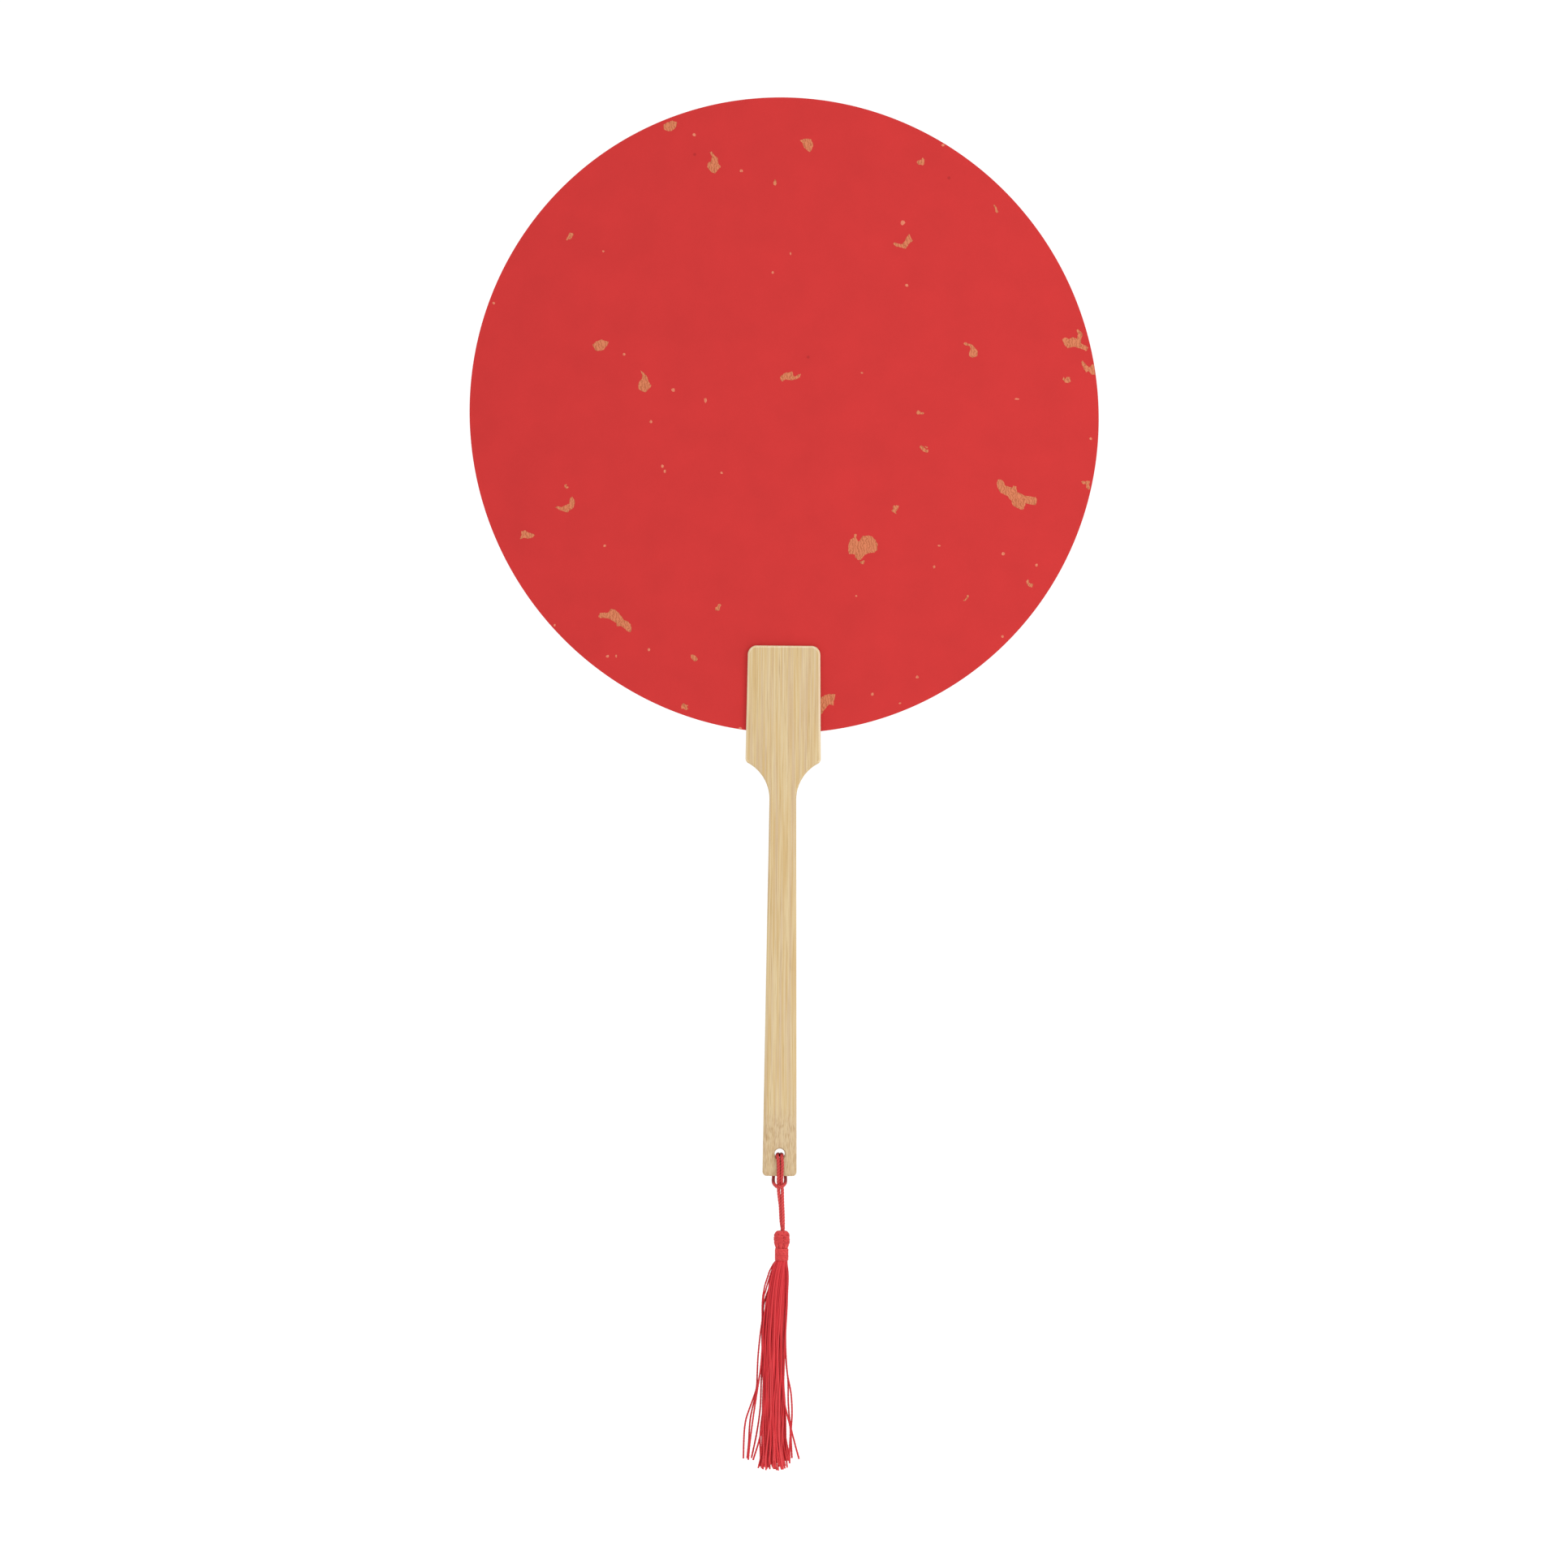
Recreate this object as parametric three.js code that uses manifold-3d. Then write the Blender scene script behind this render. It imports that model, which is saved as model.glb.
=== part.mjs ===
// A round paddle fan: a red paper leaf glued into a slotted bamboo handle, with a tassel hitched to its tail.
// Millimetres. +Z runs up the handle to the leaf, the front of the leaf faces -Y, and the origin is the
// middle of the grip, inside the handle. The tassel hangs straight down, as it does when the fan is held.

import * as THREE from 'three';
import { mergeVertices } from 'three/addons/utils/BufferGeometryUtils.js';
import Module from 'manifold-3d';

const wasm = await Module();
wasm.setup();

// Leaf: a card disc, cut a little out of round, with paper on both faces
const LEAF_HALF_LONG = 111.1;
const LEAF_HALF_SHORT = 109.4;
const LEAF_LEAN = THREE.MathUtils.degToRad(25); // long axis away from upright, its top towards -X
const LEAF_OFFSET_X = -0.7; // glued in a little off the handle's middle
const LEAF_SIDES = 96;
const CARD_THICKNESS = 1.1;
const PAPER_THICKNESS = 0.2;

// Handle: one flat bamboo slat with a wide head and a hollow-shouldered neck
const HANDLE_THICKNESS = 5;
const HEAD_TOP_Z = 119.8;
const HEAD_TOP_WIDTH = 25.2;
const HEAD_LOW_WIDTH = 26.3;
const HEAD_CORNER_RADIUS = 3.1;
const SHOULDER_RADIUS = 14.3;
const SHOULDER_EASE = 1.1;
const NECK_Z = 66.2;
const NECK_WIDTH = 9.35;
const TAIL_Z = -65;
const TAIL_WIDTH = 11.9;
const TAIL_CORNER_RADIUS = 1.5;
const EDGE_EASE = 0.7;
const EDGE_EASE_STEPS = 2;
const OUTLINE_ARC_DIVISIONS = 4;

// Kerf sawn into the head for the leaf
const LEAF_INSERT = 30.4;
const GLUE_LINE = 0.1;
const KERF_FLOOR_GAP = 0.3;

// Hole for the cord, with eased mouths
const HOLE_DIAMETER = 3.5;
const HOLE_FROM_TAIL = 7.8;
const HOLE_EASE = 0.5;
const HOLE_SIDES = 24;

// Cord: its strands, and the points that they follow from the front leg's lower end, up the front of the
// handle, through the hole, down the back and round under the tail to the middle of the loop in front
const CORD_DIAMETER = 1.15;
const CORD_SIDES = 8;
const HITCH_STEPS = 80;
const PENDANT_STEPS = 12;
const HITCH_HALF_ROUTE = [
  [0.66, -3.05, -68.25],
  [0.67, -3.2, -66.8],
  [0.68, -3.38, -65.0],
  [0.68, -3.38, -62.6],
  [0.66, -3.38, -60.6],
  [0.63, -3.38, -59.35],
  [0.62, -2.97, -58.37],
  [0.62, -2.0, -57.97],
  [0.62, 0, -57.97],
  [0.62, 2.0, -57.97],
  [0.63, 2.97, -58.37],
  [0.7, 3.38, -59.35],
  [0.95, 3.38, -61.2],
  [1.5, 3.38, -63.3],
  [1.95, 3.3, -64.9],
  [2.12, 2.3, -66.2],
  [2.14, 0.2, -67.0],
  [2.1, -1.9, -67.6],
  [1.86, -3.7, -68.05],
  [1.1, -4.46, -68.46],
];
const HITCH_LOOP_FRONT = [0, -4.65, -68.6];

// The two free strands, side by side under the loop and one before the other at the tassel
const PENDANT_RIGHT_ROUTE = [
  [0.62, -3.05, -69.6],
  [0.7, -3.21, -72.3],
  [0.82, -3.42, -75.1],
  [0.9, -3.57, -77.9],
  [0.95, -3.64, -80.7],
  [1.0, -3.66, -83.0],
];
const PENDANT_LEFT_ROUTE = [
  [-0.62, -3.05, -69.6],
  [-0.46, -2.89, -72.3],
  [-0.12, -2.68, -75.1],
  [0.3, -2.53, -77.9],
  [0.7, -2.46, -80.7],
  [1.0, -2.44, -83.0],
];

// Tassel head: a thread-covered knob over the cord's knot, with a plain neck under it
const TASSEL_PIVOT = new THREE.Vector3(1, -3.05, -83.5);
const TASSEL_TOP_DROP = 0.45; // the knob's top lies this far under the pivot
const KNOB_DIAMETER = 5.5;
const KNOB_HEIGHT = 5.7;
const KNOB_LIP_DIAMETER = 3.8;
const KNOB_RIM_WIDTH = 0.25; // eased rim round the cord's mouth
const KNOB_RIM_DROP = 0.1;
const KNOB_SWELL = [[0.85, 0.13], [1, 0.42], [0.9, 0.78]]; // [share of half width, share of height down]
const KNOB_SWELL_STEPS = 10;
const KNOB_SIDES = 24;
const NECK_STUB_DIAMETER = 3;
const CORD_KNOT_DIAMETER = 2.5;
const CORD_KNOT_DEPTH = 2.9; // the knot's middle below the knob's top
const CORD_STEM_DIAMETER = 1.8;
const CORD_KNOT_SIDES = 12;
const BALL_STEPS = 8;
const NECK_END_STEPS = 5;
const SEAT_GAP = 0.3; // clearance between pieces that seat in or on each other

// Neck binding: thread wound round the neck
const BINDING_THREAD = 0.42;
const BINDING_PITCH = 0.85;
const BINDING_TURNS = 5;
const BINDING_STEPS_PER_TURN = 24;
const BINDING_SIDES = 6;
const LEAST_WINDING_GAP = 0.4;

// Skirt: rings of loose threads, in four groups, that spread and lean as they hang
const SKIRT_TIP_Z = -167.4;
const SKIRT_RINGS = 5;
const SKIRT_RING_STEP = 0.45;
const SKIRT_STRAND_RADIUS = 0.26;
const SKIRT_STRAND_SIDES = 4;
const SKIRT_STRAND_STEPS = 10;
const SKIRT_ROOT_THICKNESS = 1.2;
const SKIRT_ROOT_ARC_STEPS = 6;
const SKIRT_PIVOT_RISE = 0.9; // the skirt sways about a point this far above the binding's lower edge
const SKIRT_QUICK_SPREAD = 0.9; // spread gained just below the neck, as a share of the root's radius
const SKIRT_SLOW_SPREAD = 0.55; // spread gained towards the tips
const SKIRT_SPREAD_RUN = 0.1; // share of the length in which the quick spread happens
const SKIRT_LEAN = 3.3; // the bundle swings out this far towards -X under the neck
const SKIRT_LEAN_RUN = 0.12;
const SKIRT_LEAN_RETURN = 1.2; // and comes back this far at the tips
const SKIRT_TRIM = 4; // most that a thread falls short of the longest
const SKIRT_TRIM_SHARES = { ring: 0.618, place: 0.371, turn: 0.233 }; // what each adds to a thread's trim

// Sizes that follow from the ones above
const LEAF_THICKNESS = CARD_THICKNESS + 2 * PAPER_THICKNESS;
const LEAF_DROP = Math.hypot(LEAF_HALF_LONG * Math.cos(LEAF_LEAN), LEAF_HALF_SHORT * Math.sin(LEAF_LEAN));
const LEAF_LOW_Z = HEAD_TOP_Z - LEAF_INSERT;
const LEAF_CENTRE_Z = LEAF_LOW_Z + LEAF_DROP;
const HOLE_Z = TAIL_Z + HOLE_FROM_TAIL;
const KNOB_TOP = -TASSEL_TOP_DROP;
const KNOB_LOW = KNOB_TOP - KNOB_HEIGHT;
const BINDING_HELIX_RADIUS = NECK_STUB_DIAMETER / 2 + SEAT_GAP + BINDING_THREAD / 2;
const BINDING_FIRST = KNOB_LOW - SEAT_GAP - BINDING_THREAD / 2;
const BINDING_LOW = BINDING_FIRST - BINDING_TURNS * BINDING_PITCH - BINDING_THREAD / 2;
const SKIRT_PIVOT = BINDING_LOW + SKIRT_PIVOT_RISE;
const SKIRT_TOP = SKIRT_PIVOT - NECK_STUB_DIAMETER / 2 - SEAT_GAP;
const SKIRT_LENGTH = SKIRT_TOP + TASSEL_PIVOT.z - SKIRT_TIP_Z;
const SAME_POINT = 1e-5;

const paint = {
  paper: { color: 0xd43a3a, roughness: 0.75, metalness: 0 },
  card: { color: 0xd9ccb4, roughness: 0.9, metalness: 0 },
  bamboo: { color: 0xdac296, roughness: 0.6, metalness: 0 },
  cord: { color: 0xce4440, roughness: 0.7, metalness: 0 },
  thread: { color: 0xc63538, roughness: 0.7, metalness: 0 },
};

const fan = new THREE.Group();
const tassel = new THREE.Group();
tassel.position.copy(TASSEL_PIVOT);
fan.add(tassel);

/** Adds one named piece, in its own material, to a group. */
function addPiece(group, name, geometry, finish) {
  const piece = new THREE.Mesh(geometry, new THREE.MeshStandardMaterial(finish));
  piece.name = name;
  group.add(piece);
  return piece;
}

/** A closed solid for cutting and joining, made from a three.js geometry. */
function solidFrom(geometry) {
  const bare = geometry.clone();
  bare.deleteAttribute('normal');
  bare.deleteAttribute('uv');
  const merged = mergeVertices(bare, SAME_POINT);
  const corners = merged.index.array;
  const kept = [];
  for (let i = 0; i < corners.length; i += 3) {
    const [a, b, c] = [corners[i], corners[i + 1], corners[i + 2]];
    if (a !== b && b !== c && c !== a) kept.push(a, b, c);
  }
  const vertProperties = new Float32Array(merged.attributes.position.array);
  const triVerts = new Uint32Array(kept);
  return new wasm.Manifold(new wasm.Mesh({ numProp: 3, vertProperties, triVerts }));
}

/** The three.js geometry of a solid that was cut or joined. */
function geometryFrom(solid) {
  const mesh = solid.getMesh();
  const geometry = new THREE.BufferGeometry();
  geometry.setAttribute('position', new THREE.BufferAttribute(mesh.vertProperties, 3));
  geometry.setIndex(new THREE.BufferAttribute(mesh.triVerts, 1));
  geometry.computeVertexNormals();
  return geometry;
}

/** A regular polygon that stands for a round section. */
function roundSection(radius, sides) {
  const points = [];
  for (let i = 0; i < sides; i += 1) {
    const angle = (2 * Math.PI * i) / sides;
    points.push(new THREE.Vector2(radius * Math.cos(angle), radius * Math.sin(angle)));
  }
  return new THREE.Shape(points);
}

/** A smooth curve through a list of [x, y, z] points. */
function routeCurve(points) {
  return new THREE.CatmullRomCurve3(points.map((point) => new THREE.Vector3(...point)), false, 'centripetal');
}

/** A capped tube along a curve. */
function tube(curve, diameter, sides, steps) {
  return new THREE.ExtrudeGeometry(roundSection(diameter / 2, sides), { steps, extrudePath: curve });
}

/** A turned shape about the upright axis, from [radius, height] points. */
function turned(profile, sides) {
  const points = profile.map(([radius, height]) => new THREE.Vector2(radius, height));
  return new THREE.LatheGeometry(points, sides).rotateX(Math.PI / 2);
}

/** One layer of the leaf, with its middle this far from the leaf's mid-plane. */
function addLeafLayer(name, thickness, y, finish) {
  const disc = new THREE.CylinderGeometry(1, 1, thickness, LEAF_SIDES);
  disc.scale(LEAF_HALF_SHORT, 1, LEAF_HALF_LONG);
  const layer = addPiece(fan, name, disc, finish);
  layer.position.set(LEAF_OFFSET_X, y, LEAF_CENTRE_Z);
  layer.rotation.y = -LEAF_LEAN;
}

/** The handle's outline: the right half from tail to head, then its mirror image. */
function handleOutline() {
  const tailHalf = TAIL_WIDTH / 2;
  const neckHalf = NECK_WIDTH / 2;
  const lowHalf = HEAD_LOW_WIDTH / 2;
  const topHalf = HEAD_TOP_WIDTH / 2;
  const hollowX = neckHalf + SHOULDER_RADIUS;
  const meeting = Math.acos((lowHalf - hollowX) / SHOULDER_RADIUS);
  const cornerZ = NECK_Z + SHOULDER_RADIUS * Math.sin(meeting);
  const tailArcX = tailHalf - TAIL_CORNER_RADIUS;
  const headArcX = topHalf - HEAD_CORNER_RADIUS;
  const half = new THREE.Path();
  half.moveTo(0, TAIL_Z);
  half.lineTo(tailArcX, TAIL_Z);
  half.absarc(tailArcX, TAIL_Z + TAIL_CORNER_RADIUS, TAIL_CORNER_RADIUS, -Math.PI / 2, 0, false);
  half.lineTo(neckHalf, NECK_Z);
  half.absarc(hollowX, NECK_Z, SHOULDER_RADIUS, Math.PI, meeting + SHOULDER_EASE / SHOULDER_RADIUS, true);
  half.quadraticCurveTo(lowHalf, cornerZ, lowHalf, cornerZ + SHOULDER_EASE);
  half.lineTo(topHalf, HEAD_TOP_Z - HEAD_CORNER_RADIUS);
  half.absarc(headArcX, HEAD_TOP_Z - HEAD_CORNER_RADIUS, HEAD_CORNER_RADIUS, 0, Math.PI / 2, false);
  half.lineTo(0, HEAD_TOP_Z);
  const drawn = half.getPoints(OUTLINE_ARC_DIVISIONS);
  const right = drawn.filter((point, i) => i === 0 || point.distanceTo(drawn[i - 1]) > SAME_POINT);
  const left = right.slice(1, -1).reverse().map((point) => new THREE.Vector2(-point.x, point.y));
  return new THREE.Shape([...right, ...left]);
}

/** The handle: the slat with its kerf and hole cut out. */
function handleGeometry() {
  const depth = HANDLE_THICKNESS - 2 * EDGE_EASE;
  const slat = new THREE.ExtrudeGeometry(handleOutline(), {
    depth,
    bevelThickness: EDGE_EASE,
    bevelSize: EDGE_EASE,
    bevelOffset: -EDGE_EASE,
    bevelSegments: EDGE_EASE_STEPS,
  });
  slat.rotateX(Math.PI / 2).translate(0, depth / 2, 0);

  const kerfFloor = LEAF_LOW_Z - KERF_FLOOR_GAP;
  const kerfHeight = 2 * (HEAD_TOP_Z - kerfFloor); // runs out past the head's top
  const kerf = new THREE.BoxGeometry(2 * HEAD_LOW_WIDTH, LEAF_THICKNESS + 2 * GLUE_LINE, kerfHeight);
  kerf.translate(0, 0, kerfFloor + kerfHeight / 2);

  const face = HANDLE_THICKNESS / 2;
  const throat = HOLE_DIAMETER / 2;
  const past = face + HOLE_EASE;
  const drill = turned([
    [0, -past],
    [throat + 2 * HOLE_EASE, -past],
    [throat, HOLE_EASE - face],
    [throat, face - HOLE_EASE],
    [throat + 2 * HOLE_EASE, past],
    [0, past],
  ], HOLE_SIDES);
  drill.rotateX(Math.PI / 2).translate(0, 0, HOLE_Z);

  return geometryFrom(solidFrom(slat).subtract(solidFrom(kerf)).subtract(solidFrom(drill)));
}

/** The hitch: both halves of the route, joined at the middle of the loop. */
function hitchGeometry() {
  const mirrored = HITCH_HALF_ROUTE.map(([x, y, z]) => [-x, y, z]);
  const route = [...HITCH_HALF_ROUTE, HITCH_LOOP_FRONT, ...mirrored.reverse()];
  return tube(routeCurve(route), CORD_DIAMETER, CORD_SIDES, HITCH_STEPS);
}

/** The tassel's knob, hollow for the cord's knot, with its neck and the round end that bears the skirt. */
function knobGeometry() {
  const wide = KNOB_DIAMETER / 2;
  const lip = KNOB_LIP_DIAMETER / 2;
  const stub = NECK_STUB_DIAMETER / 2;
  const mouth = CORD_STEM_DIAMETER / 2 + SEAT_GAP;
  // Inside: the pocket for the knot and the mouth above it
  const profile = ballProfile(CORD_KNOT_DIAMETER / 2 + SEAT_GAP, mouth);
  profile.push([mouth, KNOB_TOP - KNOB_RIM_DROP]);
  // Outside of the knob, from the rim of its mouth down to the lip over the binding
  const rim = new THREE.Vector2(mouth + KNOB_RIM_WIDTH, KNOB_TOP);
  const sides = KNOB_SWELL.map(([out, down]) => new THREE.Vector2(out * wide, KNOB_TOP - down * KNOB_HEIGHT));
  const swell = new THREE.SplineCurve([rim, ...sides, new THREE.Vector2(lip, KNOB_LOW)]);
  for (const point of swell.getPoints(KNOB_SWELL_STEPS)) profile.push([point.x, point.y]);
  profile.push([stub, KNOB_LOW]);
  // The neck's round end
  for (let i = 0; i < NECK_END_STEPS; i += 1) {
    const angle = (Math.PI / 2) * (i / NECK_END_STEPS);
    profile.push([stub * Math.cos(angle), SKIRT_PIVOT - stub * Math.sin(angle)]);
  }
  profile.push([0, SKIRT_PIVOT - stub]);
  return turned(profile.reverse(), KNOB_SIDES);
}

/** [radius, height] points up a ball round the knot's middle, from its foot to where a neck meets it. */
function ballProfile(radius, neckRadius) {
  const middle = KNOB_TOP - CORD_KNOT_DEPTH;
  const sweep = Math.PI / 2 + Math.acos(neckRadius / radius);
  const profile = [[0, middle - radius]];
  for (let i = 1; i <= BALL_STEPS; i += 1) {
    const angle = sweep * (i / BALL_STEPS) - Math.PI / 2;
    profile.push([radius * Math.cos(angle), middle + radius * Math.sin(angle)]);
  }
  return profile;
}

/** The cord's knot with the short stem that leads up to the knob's top. */
function knotGeometry() {
  const stem = CORD_STEM_DIAMETER / 2;
  const profile = ballProfile(CORD_KNOT_DIAMETER / 2, stem);
  profile.push([stem, KNOB_TOP], [0, KNOB_TOP]);
  return turned(profile, CORD_KNOT_SIDES);
}

/** The binding: an open helix whose two ends run straight for one thread diameter. */
function bindingGeometry() {
  const steps = BINDING_TURNS * BINDING_STEPS_PER_TURN;
  const points = [];
  for (let i = 0; i <= steps; i += 1) {
    const angle = (2 * Math.PI * i) / BINDING_STEPS_PER_TURN;
    const x = BINDING_HELIX_RADIUS * Math.cos(angle);
    const y = BINDING_HELIX_RADIUS * Math.sin(angle);
    points.push(new THREE.Vector3(x, y, BINDING_FIRST - (BINDING_PITCH * i) / BINDING_STEPS_PER_TURN));
  }
  const start = points[0].clone().sub(points[1]).setLength(BINDING_THREAD).add(points[0]);
  const end = points[steps].clone().sub(points[steps - 1]).setLength(BINDING_THREAD).add(points[steps]);
  const route = [start, ...points, end];
  const gap = leastGap(route, BINDING_STEPS_PER_TURN / 2) - BINDING_THREAD;
  console.log(`neck_binding: least gap to itself ${gap.toFixed(2)} mm, over ${LEAST_WINDING_GAP} mm wanted`);
  const curve = new THREE.CatmullRomCurve3(route, false, 'centripetal');
  curve.arcLengthDivisions = 4 * steps;
  return tube(curve, BINDING_THREAD, BINDING_SIDES, steps + 2);
}

/** The least distance between points of a route that lie more than some steps apart along it. */
function leastGap(points, stepsApart) {
  let least = Infinity;
  for (let i = 0; i < points.length; i += 1) {
    for (let j = i + stepsApart; j < points.length; j += 1) {
      least = Math.min(least, points[i].distanceTo(points[j]));
    }
  }
  return least;
}

/** A loose thread, from its place in the neck down to its tip. */
class SkirtStrand extends THREE.Curve {
  constructor(rootX, rootY, length) {
    super();
    this.rootX = rootX;
    this.rootY = rootY;
    this.length = length;
  }

  getPoint(t, target = new THREE.Vector3()) {
    const share = (t * this.length) / SKIRT_LENGTH;
    const quick = SKIRT_QUICK_SPREAD * (1 - Math.exp(-share / SKIRT_SPREAD_RUN));
    const spread = 1 + quick + SKIRT_SLOW_SPREAD * share * share;
    const lean = SKIRT_LEAN_RETURN * share * share - SKIRT_LEAN * (1 - Math.exp(-share / SKIRT_LEAN_RUN));
    const depth = SKIRT_TOP - SKIRT_ROOT_THICKNESS / 2 - t * (this.length - SKIRT_ROOT_THICKNESS / 2);
    return target.set(lean + spread * this.rootX, spread * this.rootY, depth);
  }
}

/** One quarter of the skirt: its threads, joined to a slice of the bound neck. turn is in quarters. */
function skirtQuarter(turn) {
  const outer = (SKIRT_RINGS + 0.5) * SKIRT_RING_STEP;
  const half = SEAT_GAP / 2;
  const reach = Math.sqrt(outer * outer - half * half);
  const opening = Math.asin(half / outer);
  const slice = new THREE.Shape();
  slice.moveTo(half, half);
  slice.lineTo(reach, half);
  slice.absarc(0, 0, outer, opening, Math.PI / 2 - opening, false);
  const root = new THREE.ExtrudeGeometry(slice, {
    depth: SKIRT_ROOT_THICKNESS,
    bevelEnabled: false,
    curveSegments: SKIRT_ROOT_ARC_STEPS,
  });
  root.translate(0, 0, SKIRT_TOP - SKIRT_ROOT_THICKNESS).rotateZ((Math.PI / 2) * turn);
  let quarter = solidFrom(root);
  for (let ring = 1; ring <= SKIRT_RINGS; ring += 1) {
    for (let place = 0; place < ring; place += 1) {
      const angle = (Math.PI / 2) * (turn + (place + 0.5) / ring);
      const radius = ring * SKIRT_RING_STEP;
      const shares = SKIRT_TRIM_SHARES;
      const trim = SKIRT_TRIM * ((ring * shares.ring + place * shares.place + turn * shares.turn) % 1);
      const strand = new SkirtStrand(radius * Math.cos(angle), radius * Math.sin(angle), SKIRT_LENGTH - trim);
      const thread = tube(strand, 2 * SKIRT_STRAND_RADIUS, SKIRT_STRAND_SIDES, SKIRT_STRAND_STEPS);
      quarter = quarter.add(solidFrom(thread));
    }
  }
  return geometryFrom(quarter);
}

// The leaf and its handle
addLeafLayer('leaf_core', CARD_THICKNESS, 0, paint.card);
addLeafLayer('front_paper', PAPER_THICKNESS, -(CARD_THICKNESS + PAPER_THICKNESS) / 2, paint.paper);
addLeafLayer('back_paper', PAPER_THICKNESS, (CARD_THICKNESS + PAPER_THICKNESS) / 2, paint.paper);
addPiece(fan, 'bamboo_handle', handleGeometry(), paint.bamboo);

// The cord: the hitch round the tail, and the two free strands under it
const pendantLeft = tube(routeCurve(PENDANT_LEFT_ROUTE), CORD_DIAMETER, CORD_SIDES, PENDANT_STEPS);
const pendantRight = tube(routeCurve(PENDANT_RIGHT_ROUTE), CORD_DIAMETER, CORD_SIDES, PENDANT_STEPS);
addPiece(fan, 'cord_hitch', hitchGeometry(), paint.cord);
addPiece(fan, 'pendant_strand_left', pendantLeft, paint.cord);
addPiece(fan, 'pendant_strand_right', pendantRight, paint.cord);

// The tassel
addPiece(tassel, 'tassel_head', knobGeometry(), paint.thread);
addPiece(tassel, 'cord_end_knot', knotGeometry(), paint.cord);
addPiece(tassel, 'neck_binding', bindingGeometry(), paint.thread);
const quarters = ['back_right', 'back_left', 'front_left', 'front_right'];
quarters.forEach((quarter, turn) => {
  addPiece(tassel, `skirt_strands_${quarter}`, skirtQuarter(turn), paint.thread);
});

export default fan;
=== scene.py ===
"""Looks of a round paddle fan with a hanging tassel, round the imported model. Metres, +Z up the handle."""
import logging
import math
import random
from dataclasses import dataclass, replace
from enum import Enum

import bmesh
import bpy
from mathutils import Matrix, Vector
from mathutils.geometry import interpolate_bezier
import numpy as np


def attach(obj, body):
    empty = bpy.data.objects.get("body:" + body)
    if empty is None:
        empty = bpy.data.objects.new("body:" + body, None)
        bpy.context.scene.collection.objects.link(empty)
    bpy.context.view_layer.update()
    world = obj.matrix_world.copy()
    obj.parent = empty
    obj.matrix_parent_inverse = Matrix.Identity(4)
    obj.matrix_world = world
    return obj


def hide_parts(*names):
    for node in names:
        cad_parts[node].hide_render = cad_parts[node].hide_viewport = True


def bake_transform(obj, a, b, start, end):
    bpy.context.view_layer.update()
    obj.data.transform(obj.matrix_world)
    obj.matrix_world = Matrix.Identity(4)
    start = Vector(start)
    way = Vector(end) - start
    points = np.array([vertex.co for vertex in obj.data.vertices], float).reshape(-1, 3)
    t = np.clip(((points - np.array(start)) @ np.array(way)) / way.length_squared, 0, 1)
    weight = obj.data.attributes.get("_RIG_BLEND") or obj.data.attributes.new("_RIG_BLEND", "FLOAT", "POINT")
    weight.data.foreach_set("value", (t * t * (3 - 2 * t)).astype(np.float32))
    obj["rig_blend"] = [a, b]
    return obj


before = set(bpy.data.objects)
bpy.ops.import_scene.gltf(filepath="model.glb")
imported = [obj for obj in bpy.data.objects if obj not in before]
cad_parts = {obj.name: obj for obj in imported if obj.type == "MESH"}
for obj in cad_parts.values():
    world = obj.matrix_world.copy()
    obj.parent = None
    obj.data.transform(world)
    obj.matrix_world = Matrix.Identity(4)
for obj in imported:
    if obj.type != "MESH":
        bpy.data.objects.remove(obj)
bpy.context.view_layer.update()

MM = 0.001
WELD = 1e-6
FULL_TURN = 2 * math.pi
LOG = logging.getLogger("paddle_fan")

# Sockets of a Mix node that mixes colours
MIX_SHARE, MIX_FROM, MIX_TO, MIXED = 0, 6, 7, 2

Shape = bmesh.types.BMesh
Tree = bpy.types.NodeTree
Socket = bpy.types.NodeSocket
Material = bpy.types.Material
Point = tuple[float, float, float]
Flat = tuple[float, float]
Span = tuple[float, float]


class Body(Enum):
    """The moving bodies of the model."""

    FAN = "fan"
    PENDANT = "pendant"
    TASSEL = "tassel"
    SKIRT = "skirt"


class Slot(Enum):
    """The record's material slots."""

    PAPER = "red_paper"
    CARD = "card"
    BAMBOO = "bamboo"
    CORD = "red_cord"
    THREAD = "red_thread"


class Face(Enum):
    """A face of the leaf, and which way along Y it looks."""

    FRONT = -1
    BACK = 1


class Quarter(Enum):
    """A quarter of the tassel's skirt, by the quarter turns from +X at which it starts."""

    BACK_RIGHT = 0
    BACK_LEFT = 1
    FRONT_LEFT = 2
    FRONT_RIGHT = 3


def linear(colour: str) -> tuple[float, float, float, float]:
    """Turn an sRGB hex colour to linear values.

    Args:
        colour: six hex digits after a hash sign.

    Returns:
        Linear red, green, blue and an alpha of 1.
    """
    shares = [int(colour[i:i + 2], 16) / 255 for i in (1, 3, 5)]
    red, green, blue = [s / 12.92 if s <= 0.04045 else ((s + 0.055) / 1.055) ** 2.4 for s in shares]
    return red, green, blue, 1.0


def between(span: Span, share: float) -> float:
    """The value at a share of the way from a span's start to its end."""
    return span[0] + (span[1] - span[0]) * share


def eased(share: float, reach: float) -> float:
    """How far a change has come that starts at once and fades out over a reach."""
    return 1 - math.exp(-share / reach)


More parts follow.
